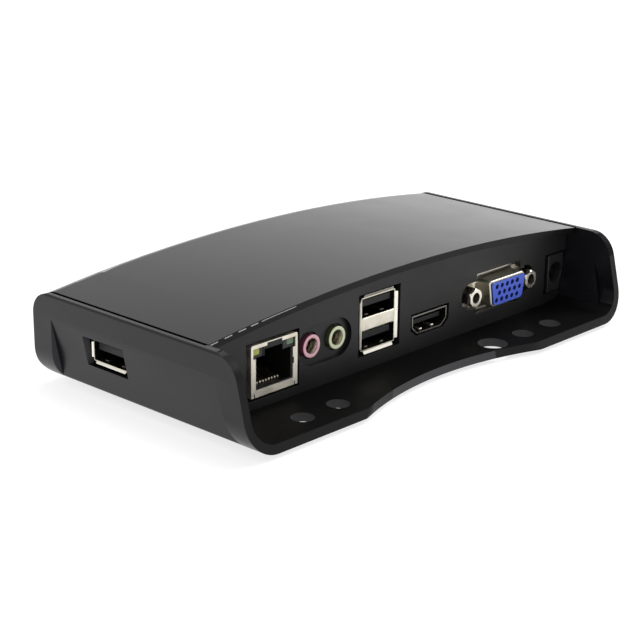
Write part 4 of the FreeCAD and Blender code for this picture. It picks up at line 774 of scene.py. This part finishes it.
class THINCLIENT_OT_network(Piece, bpy.types.Operator):
    """The network socket: shield, housing, contacts and link lights"""

    bl_idname = "thin_client.network"
    bl_label = "Network socket"

    def execute(self, context):
        self.shield(context.scene.thin_client_sockets.sheet_edge)
        self.housing()
        self.pins()
        self.lamp("link_lamp", "network_link_led", 1, "lamp_yellow")
        self.lamp("data_lamp", "network_data_led", -1, "lamp_green")
        return {"FINISHED"}

    def shield(self, edge):
        """A folded can: a stepped mouth round plug and lamps, a notch above and slits at the fold."""
        lo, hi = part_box("network_shield")
        x, face = middle("network_shield")[0], hi.y
        lamp_lo, lamp_hi = low("network_data_led"), high("network_link_led")
        base = high("main_board").z
        shell = block("network_shell", lo, hi)
        long_edges(shell, 0.5 * MM, 4, base + 1 * MM)
        sheet, slit, corner = 0.4 * MM, 0.3 * MM, 6.95 * MM
        plug_half, plug_low = 6.4 * MM, base + 1.8 * MM
        behind, front = face - 2 * MM, face + 1 * MM
        cuts = [
            # room behind the face, plug opening, lamp opening, notch between the lamps
            ((lo.x + sheet, lo.y + sheet, lo.z + sheet), (hi.x - sheet, hi.y - sheet, hi.z - sheet)),
            ((x - plug_half, behind, plug_low), (x + plug_half, front, lamp_lo.z + 0.2 * MM)),
            ((lamp_lo.x, behind, lamp_lo.z - 0.1 * MM), (lamp_hi.x, front, lamp_hi.z)),
            ((x - 2.6 * MM, behind, lamp_hi.z - 0.1 * MM), (x + 2.5 * MM, front, hi.z - 0.3 * MM)),
            # spring window in the far strip
            ((x - 6.75 * MM, behind, base + 5.6 * MM), (x - 6.3 * MM, front, base + 7.3 * MM)),
        ]
        for side in (-1, 1):
            spot = x + side * corner
            cuts.append(((spot - slit / 2, face - 1 * MM, lo.z - 1 * MM),
                         (spot + slit / 2, front, lo.z + 0.95 * MM)))
        for corners in cuts:
            carved(shell, block("cut", *corners))
        rounded(shell, edge)
        wear(shell, "satin")
        keep(shell, "network_shield")

    def housing(self):
        """The insulator: rooms for plug, latch and both lights."""
        lo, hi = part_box("network_housing")
        x, base = middle("network_housing")[0], high("main_board").z
        back, front = high("network_shield").y - 13.5 * MM, hi.y + 1 * MM
        plug_half, plug_low, plug_top = 5.9 * MM, base + 2 * MM, base + 10 * MM
        latch_half, latch_rise = 3.1 * MM, 1.6 * MM
        rooms = [((x - plug_half, back, plug_low), (x + plug_half, front, plug_top)),
                 ((x - latch_half, back, plug_top - 1 * MM), (x + latch_half, front, plug_top + latch_rise))]
        for node in ("network_link_led", "network_data_led"):
            lamp_lo, lamp_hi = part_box(node)
            rooms.append((lamp_lo, (lamp_hi.x, front, lamp_hi.z)))
        body = block("network_body", lo, hi)
        for corners in rooms:
            carved(body, block("room", *corners))
        keep(wear(rounded(body, 0.1 * MM), "dark"), "network_housing")

    def pins(self):
        """The contacts, whose bent fronts catch the light as a row of dots."""
        pins = softened("network_pins", "network_contacts", 0.05 * MM, "gold")
        lo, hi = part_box("network_contacts")
        number, pitch, width, tall = 8, 1.02 * MM, 0.55 * MM, 0.75 * MM
        tips = [pins]
        for place in range(number):
            left = lo.x + place * pitch
            tips.append(small("tip", (left, hi.y - 0.5 * MM, lo.z),
                              (left + width, hi.y + 0.1 * MM, lo.z + tall), 0.22 * MM, "sheet"))
        joined("network_pins", tips)

    def lamp(self, name, node, side, finish):
        """A milky lens in the outer top corner of its dark holder."""
        lo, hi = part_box(node)
        holder = block(name, lo, (hi.x, hi.y - 0.1 * MM, hi.z))
        wide, tall, rim = 2.5 * MM, 1.8 * MM, 0.1 * MM
        outer = hi.x - rim if side > 0 else lo.x + rim
        inner = outer - side * wide
        lens_lo = Vector((min(outer, inner), lo.y + 1 * MM, hi.z - rim - tall))
        lens_hi = Vector((max(outer, inner), hi.y, hi.z - rim))
        gap = Vector((0.06, 0.06, 0.06)) * MM
        carved(holder, block("room", lens_lo - gap, lens_hi + gap + Vector((0, 1 * MM, 0))))
        wear(rounded(holder, 0.06 * MM), "frame")
        lens = block("lens", lens_lo, lens_hi)
        long_edges(lens, 0.35 * MM, 4)
        wear(rounded(lens, 0.22 * MM, 3), finish)
        keep(joined(name, [holder, lens]), node)


class THINCLIENT_OT_audio(Piece, bpy.types.Operator):
    """Both audio sockets: coloured collars, metal sleeves and bodies"""

    bl_idname = "thin_client.audio"
    bl_label = "Audio sockets"

    def execute(self, context):
        outer = context.scene.thin_client_sockets.collar
        sleeves = []
        for name, node, finish in (("pink_collar", "mic_collar", "pink"),
                                   ("lime_collar", "headphone_collar", "lime")):
            lo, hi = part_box(node)
            x, _, z = middle(node)
            keep(self.collar(name, x, z, lo.y, hi.y, outer, finish), node)
            sleeves.append(self.sleeve(x, z, low("audio_sleeves").y, hi.y - 0.35 * MM))
        keep(wear(joined("sleeves", sleeves), "nut"), "audio_sleeves")
        softened("audio_bodies", "audio_housings", 0.2 * MM, "dark")
        return {"FINISHED"}

    def collar(self, name, x, z, back, front, outer, finish):
        """A ring with a flat face and slightly broken edges, and a barrel painted darker as painted shade."""
        mouth, edge = 2.06 * MM, 0.14 * MM
        rings = [(outer, back), (outer, front - edge), (outer - 0.3 * edge, front - 0.3 * edge),
                 (outer - edge, front), (mouth + edge, front), (mouth + 0.3 * edge, front - 0.3 * edge),
                 (mouth, front - edge), (mouth, back)]
        piece = turned(name, x, z, rings, 64)
        smooth(piece, math.radians(40))
        wear(piece, finish)
        # The barrel takes the darker copy of the colour: painted shade.
        return faced(piece, finish + "_side", lambda centre, normal: abs(normal.y) < 0.3)

    def sleeve(self, x, z, back, front):
        """A tube with a bright conical mouth, which guides the plug into its bore."""
        tube, mouth, bore = 2.04 * MM, 1.97 * MM, 1.60 * MM
        rings = [(tube, back), (tube, front - 0.06 * MM), (tube - 0.03 * MM, front),
                 (mouth, front - 0.02 * MM),
                 (bore, front - 1.6 * MM), (bore, front - 2.3 * MM), (bore + 0.1 * MM, front - 2.6 * MM),
                 (bore, front - 2.9 * MM), (bore, back)]
        piece = turned("sleeve", x, z, rings, 64)
        smooth(piece, math.radians(20))
        return piece


class THINCLIENT_OT_data(Piece, bpy.types.Operator):
    """The stacked data sockets and the one in the end wall"""

    bl_idname = "thin_client.data"
    bl_label = "Data sockets"

    def execute(self, context):
        lo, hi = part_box("twin_port_shell")
        floor = high("main_board").z + DATA_FLOOR
        floors = [floor, floor + DATA_HEIGHT + DATA_WEB]
        twin = data_can("twin_shell", (lo.x + hi.x) / 2, hi.y, hi.y - lo.y, floors, FLAP_REACH)
        keep(twin, "twin_port_shell")
        softened("twin_tongues", "twin_port_tongues", 0.12 * MM, "dark")
        softened("twin_pins", "twin_port_contacts", 0.04 * MM, "gold")
        lo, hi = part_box("side_port_shell")
        side = data_can("side_shell", 0, 0, hi.x - lo.x, [lo.z + SHEET], SIDE_REACH)
        turn = Matrix.Rotation(-math.pi / 2, 4, "Z")
        side.matrix_world = Matrix.Translation((hi.x, (lo.y + hi.y) / 2, 0)) @ turn
        only(side)
        applied()
        keep(side, "side_port_shell")
        softened("side_tongue", "side_port_tongue", 0.12 * MM, "dark")
        softened("side_pins", "side_port_contacts", 0.04 * MM, "gold")
        softened("side_body", "side_port_base", 0.12 * MM, "dark")
        return {"FINISHED"}


class THINCLIENT_OT_video(Piece, bpy.types.Operator):
    """The digital and the analog video socket"""

    bl_idname = "thin_client.video"
    bl_label = "Video sockets"

    def execute(self, context):
        self.digital()
        softened("digital_tongue", "digital_video_tongue", 0.1 * MM, "dark")
        softened("digital_body", "digital_video_base", 0.1 * MM, "dark")
        softened("digital_pins", "digital_video_contacts", 0.02 * MM, "pin")
        self.analog(context.scene.thin_client_sockets.hole)
        softened("analog_pins", "analog_video_contacts", 0.04 * MM, "pin")
        softened("analog_back", "analog_video_body", 0.2 * MM, "dark")
        return {"FINISHED"}

    def digital(self):
        """A stamped can with slanting lower corners and a throat painted dark as painted shade."""
        lo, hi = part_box("digital_video_shell")
        # The stamped can stands a little inside the box that its flaps fill.
        lo, hi = lo + Vector((0.5, 0, 0.1)) * MM, hi - Vector((0.15, 0, 0.15)) * MM
        shell = d_block("digital_shell", lo, hi, 10.6 / 15, 0.35 * MM, 3, lo.z + 1.9 * MM)
        hollowed(shell, 0.36 * MM, hi.y - lo.y - 1 * MM)
        rounded(shell, 0.13 * MM, 3)
        wear(shell, "tin")
        # Its throat is what lies inside, behind the lip, painted dark as painted shade.
        faced(shell, "throat", lambda centre, normal: lo.x + 0.3 * MM < centre.x < hi.x - 0.3 * MM
              and lo.z + 0.25 * MM < centre.z < hi.z - 0.25 * MM
              and lo.y + 0.5 * MM < centre.y < hi.y - 0.5 * MM)
        parts = [shell]
        for side in (-1, 1):
            spot = (lo.x + hi.x) / 2 + side * 2.4 * MM
            parts.append(small("spring", (spot - 0.6 * MM, hi.y - 4 * MM, lo.z + 0.3 * MM),
                               (spot + 0.6 * MM, hi.y - 0.9 * MM, lo.z + 0.85 * MM), 0.25 * MM, "sheet"))
        keep(joined("digital_shell", parts), "digital_video_shell")

    def analog(self, hole):
        """Flange, flared D-shaped shell, blue insulator with contact holes and two jack nuts."""
        lo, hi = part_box("analog_video_shell")
        x, _, z = middle("analog_video_shell")
        nut_lo, nut_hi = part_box("analog_video_nuts")
        flange_face = nut_lo.y
        flange = d_block("flange", lo, (hi.x, flange_face, hi.z), 1, 1 * MM)
        wide, tall = VIDEO_TOP / 2 * MM, VIDEO_HEIGHT / 2 * MM
        d_lo = Vector((x - wide, lo.y, z - tall))
        d_hi = Vector((x + wide, hi.y, z + tall))
        shell = d_block("d_shell", d_lo, d_hi, VIDEO_FOOT / VIDEO_TOP, 1.4 * MM, 8)
        picked(shell, "EDGE", lambda centre, along: centre.y > hi.y - NEAR and abs(along.y) < 0.1)
        bevelled(0.45 * MM, 5)
        hollowed(shell, 0.12 * MM, hi.y - lo.y - 0.05 * MM)
        rounded(shell, 0.05 * MM)
        flare = self.flare(x, z, d_lo, d_hi, flange_face)
        sheet = 0.3
        inner = Vector((sheet, sheet, sheet)) * MM
        foot = (VIDEO_FOOT - 2 * sheet) / (VIDEO_TOP - 2 * sheet)
        for part in (flange, flare):
            carved(part, d_block("room", d_lo + inner, d_hi - inner + Vector((0, 3, 0)) * MM,
                                 foot, 1.2 * MM, 8))
        spots = [x + side * NUT_SPOT for side in (-1, 1)]
        for spot in spots:
            carved(flange, bar("bore", spot, z, 1.5 * MM, lo.y - 1 * MM, flange_face + 1 * MM))
        rounded(flange, 0.12 * MM)
        smooth(flare, SHARP)
        keep(wear(joined("analog_shell", [shell, flange, flare]), "sheet"), "analog_video_shell")
        self.insulator(x, z, d_lo, d_hi, hole)
        nuts = [self.nut(spot, z, flange_face, nut_hi.y) for spot in spots]
        keep(joined("analog_nuts", nuts), "analog_video_nuts")

    def insulator(self, x, z, d_lo, d_hi, hole):
        """The blue block with three rows of five contact holes, the middle row shifted."""
        front, rim = high("analog_video_insert").y, 0.57
        foot = (VIDEO_FOOT - 1.1) / (VIDEO_TOP - 2 * rim)
        body = d_block("analog_insulator", (d_lo.x + rim * MM, d_lo.y, d_lo.z + rim * MM),
                       (d_hi.x - rim * MM, front, d_hi.z - rim * MM), foot, 0.9 * MM)
        holes = []
        for rank in range(3):
            level = z + (1 - rank) * ROW
            for number in range(5):
                shift = number - 2 + (-0.25 if rank == 1 else 0.25)
                spot = x + shift * PITCH
                holes.append(bar("hole", spot, level, hole, front - 4 * MM, front + 1 * MM, 20))
        carved(body, joined("holes", holes))
        rounded(body, 0.10 * MM)
        wear(body, "blue")
        # Sides and hole walls take the darker blue: painted shade.
        faced(body, "blue_side", lambda centre, normal: abs(normal.y) < 0.3)
        keep(body, "analog_video_insert")

    def flare(self, x, z, d_lo, d_hi, face):
        """The drawn root of the shell: a hollow curve from the flange up to the D-shaped wall."""
        curve, steps = 1.2, 6
        reach = curve * MM
        start = face + 0.02 * MM
        grow = Vector((reach, 0, reach))
        lo = d_lo - grow
        hi = d_hi + grow
        hi.y = start
        foot = (VIDEO_FOOT + 2 * curve) / (VIDEO_TOP + 2 * curve)
        piece = d_block("flare", lo, hi, foot, 2 * reach, 8)
        half = Vector(((d_hi.x - d_lo.x) / 2, 0, (d_hi.z - d_lo.z) / 2))
        picked(piece, "FACE", lambda centre, normal: normal.y > 0.9 and centre.y > face)
        now, y = reach, hi.y
        for step in range(1, steps + 1):
            angle = step * math.pi / 2 / steps
            then = reach * (1 - math.sin(angle))
            rise = start + reach * (1 - math.cos(angle)) - y
            y += rise
            bpy.ops.mesh.extrude_region_move(TRANSFORM_OT_translate={"value": (0, rise, 0)})
            ratio = ((half.x + then) / (half.x + now), 1, (half.z + then) / (half.z + now))
            bpy.ops.transform.resize(value=ratio, center_override=(x, y, z))
            now = then
        done()
        return piece

    def nut(self, x, z, back, front):
        """A hexagonal standoff with a turned chamfer and a threaded bore."""
        flats, bore, pitch, slack = 4.9 * MM, 1.42 * MM, 0.5 * MM, 0.11 * MM
        corner = flats / math.sqrt(3)
        nut = bar("nut", x, z, corner, back, front, 6)
        # The chamfer is left by a round bar with a cone at its front end.
        chamfer = bar("chamfer", x, z, corner + 0.2 * MM, back - 1 * MM, front, 64)
        picked(chamfer, "VERT", lambda place: place.y > front - NEAR)
        bpy.ops.transform.resize(value=(0.82, 1, 0.82), center_override=(x, front, z))
        done()
        picked(chamfer, "VERT", lambda place: place.y < front - NEAR)
        bpy.ops.transform.translate(value=(0, front - back + 0.25 * MM, 0))
        done()
        picked(chamfer, "FACE", lambda centre, normal: normal.y < -0.9)
        bpy.ops.mesh.extrude_region_move(TRANSFORM_OT_translate={"value": (0, back - front - 1 * MM, 0)})
        done()
        carved(nut, chamfer, "INTERSECT")
        carved(nut, bar("bore", x, z, bore + 0.12 * MM, back - 1 * MM, front + 1 * MM, 48))
        rounded(nut, 0.10 * MM)
        rings = [(bore + slack, back), (bore + slack, front - 0.08 * MM)]
        turns = int((front - back - 0.3 * MM) / pitch)
        for number in range(turns):
            y = front - 0.1 * MM - number * pitch
            rings += [(bore + 0.08 * MM, y), (bore - 0.10 * MM, y - pitch / 2)]
        rings.append((bore, back))
        thread = turned("thread", x, z, rings, 32)
        smooth(thread, math.radians(20))
        # The thread in the bore is painted dark: painted shade.
        return joined("nut", [wear(nut, "nut"), wear(thread, "throat")])


class THINCLIENT_OT_power(Softened, bpy.types.Operator):
    """The power inlet"""

    bl_idname = "thin_client.power"
    bl_label = "Power inlet"
    rows = (
        ("inlet_body", "power_inlet_body", 0.2, "inlet"),
        # The pin deep in the inlet is painted dark: painted shade.
        ("inlet_pin", "power_inlet_pin", 0.15, "throat"),
        ("inlet_spring", "power_inlet_spring", 0.04, "pin"),
    )


class THINCLIENT_OT_inside(Softened, bpy.types.Operator):
    """The main board and what is mounted on it"""

    bl_idname = "thin_client.inside"
    bl_label = "Inside"
    rows = (
        ("board", "main_board", 0.1, "board"),
        ("board_fixings", "board_screws", 0.1, "zinc"),
        ("processor_chip", "processor", 0.1, "chip"),
        ("heat_pad", "thermal_pad", 0.05, "pad"),
        ("fins", "heat_sink", 0.12, "sink"),
        ("memory", "memory_chips", 0.1, "chip"),
        ("flash", "flash_chip", 0.1, "chip"),
        ("controllers", "control_chips", 0.1, "chip"),
        ("transformer", "network_transformer", 0.2, "chip"),
        ("cans", "capacitors", 0.3, "can"),
        ("coils", "inductors", 0.4, "ferrite"),
        ("quartz", "crystals", 0.5, "zinc"),
    )


class THINCLIENT_OT_stage(Piece, bpy.types.Operator):
    """A pale floor, soft studio light and the camera of the photograph"""

    bl_idname = "thin_client.stage"
    bl_label = "Stage"

    def execute(self, context):
        self.floor()
        self.room(context.scene)
        self.camera(context.scene)
        return {"FINISHED"}

    def floor(self):
        """White paper lit from under, as on a light table: hardly any shadow round the feet."""
        level = low("rubber_feet").z - 0.02 * MM
        floor = placed("floor", bpy.ops.mesh.primitive_plane_add, size=12, location=(0, 0, level))
        glow = {"Roughness": 0.8, "Emission Color": (1, 1, 1, 1), "Emission Strength": 0.75}
        made, tree, shader, place = started("seamless paper", glow)
        fibre = noise(tree, place, 2)
        tone = add(tree, "ShaderNodeMapRange", {"To Min": 0.33, "To Max": 0.35}, {"Value": fibre})
        tree.links.new(tone.outputs["Result"], shader.inputs["Base Color"])
        floor.data.materials.append(made)

    def room(self, scene):
        """A white room, darker overhead than at the horizon, with three softboxes."""
        world = bpy.data.worlds.new("white room")
        world.use_nodes = True
        tree = world.node_tree
        way = add(tree, "ShaderNodeTexCoord").outputs["Generated"]
        parts = add(tree, "ShaderNodeSeparateXYZ", links={"Vector": way})
        level = add(tree, "ShaderNodeMapRange",
                    {"From Min": 0.05, "From Max": 0.5, "To Min": 1.22, "To Max": 0.60},
                    {"Value": parts.outputs["Z"]})
        tree.links.new(level.outputs["Result"], tree.nodes["Background"].inputs["Strength"])
        tree.nodes["Background"].inputs["Color"].default_value = (1, 1, 1, 1)
        scene.world = world
        scene.view_settings.view_transform = "Standard"
        # name, place, side and power: overhead, weakly from the camera's side, and along the edges
        lamps = [
            ("overhead", (-0.3, -0.2, 1.5), 0.8, 9.0),
            ("key", (0.9, 0.5, 1.1), 0.6, 2.5),
            ("edge", (-0.85, 0.35, 0.80), 0.35, 4.0),
        ]
        for name, spot, side, power in lamps:
            bpy.ops.object.light_add(type="AREA", location=spot)
            lamp = bpy.context.active_object
            lamp.name = name
            lamp.data.size = side
            lamp.data.energy = power
            lamp.rotation_euler = (-Vector(spot)).to_track_quat("-Z", "Y").to_euler()

    def camera(self, scene):
        """The camera of the photograph."""
        bpy.ops.object.camera_add()
        camera = bpy.context.active_object
        camera.name = "photo_camera"
        right, up = Vector(CAMERA_RIGHT).normalized(), Vector(CAMERA_UP).normalized()
        back = right.cross(up).normalized()
        up = back.cross(right)
        turn = Matrix((right, up, back)).transposed()
        camera.matrix_world = Matrix.Translation(CAMERA_PLACE) @ turn.to_4x4()
        camera.data.sensor_width = SENSOR
        camera.data.lens = FOCAL_PIXELS * SENSOR / IMAGE_SIDE
        camera.data.shift_x = (IMAGE_SIDE / 2 - PRINCIPAL[0]) / IMAGE_SIDE
        camera.data.shift_y = (PRINCIPAL[1] - IMAGE_SIDE / 2) / IMAGE_SIDE
        camera.data.clip_start = 0.01
        camera.data.clip_end = 50
        scene.camera = camera


PIECES = (
    THINCLIENT_OT_stage,
    THINCLIENT_OT_case,
    THINCLIENT_OT_front,
    THINCLIENT_OT_underside,
    THINCLIENT_OT_network,
    THINCLIENT_OT_audio,
    THINCLIENT_OT_data,
    THINCLIENT_OT_video,
    THINCLIENT_OT_power,
    THINCLIENT_OT_inside,
)


class THINCLIENT_PT_pieces(bpy.types.Panel):
    """Lists the settings and the pieces"""

    bl_idname = "THINCLIENT_PT_pieces"
    bl_label = "Thin Client"
    bl_space_type = "VIEW_3D"
    bl_region_type = "UI"
    bl_category = "Thin Client"

    def draw(self, context):
        for group in (context.scene.thin_client_case, context.scene.thin_client_sockets):
            column = self.layout.column(align=True)
            for key in group.bl_rna.properties.keys():
                if key not in ("rna_type", "name"):
                    column.prop(group, key)
        for piece in PIECES:
            self.layout.operator(piece.bl_idname)


CLASSES = (CaseSettings, SocketSettings) + PIECES + (THINCLIENT_PT_pieces,)


def register():
    for kind in CLASSES:
        bpy.utils.register_class(kind)
    bpy.types.Scene.thin_client_case = bpy.props.PointerProperty(type=CaseSettings)
    bpy.types.Scene.thin_client_sockets = bpy.props.PointerProperty(type=SocketSettings)


def unregister():
    del bpy.types.Scene.thin_client_sockets
    del bpy.types.Scene.thin_client_case
    for kind in reversed(CLASSES):
        bpy.utils.unregister_class(kind)


def main():
    """Build everything in order."""
    register()
    FINISH.update(make_finishes())
    for piece in PIECES:
        getattr(bpy.ops.thin_client, piece.bl_idname.split(".")[1])()


if __name__ == "__main__":
    main()
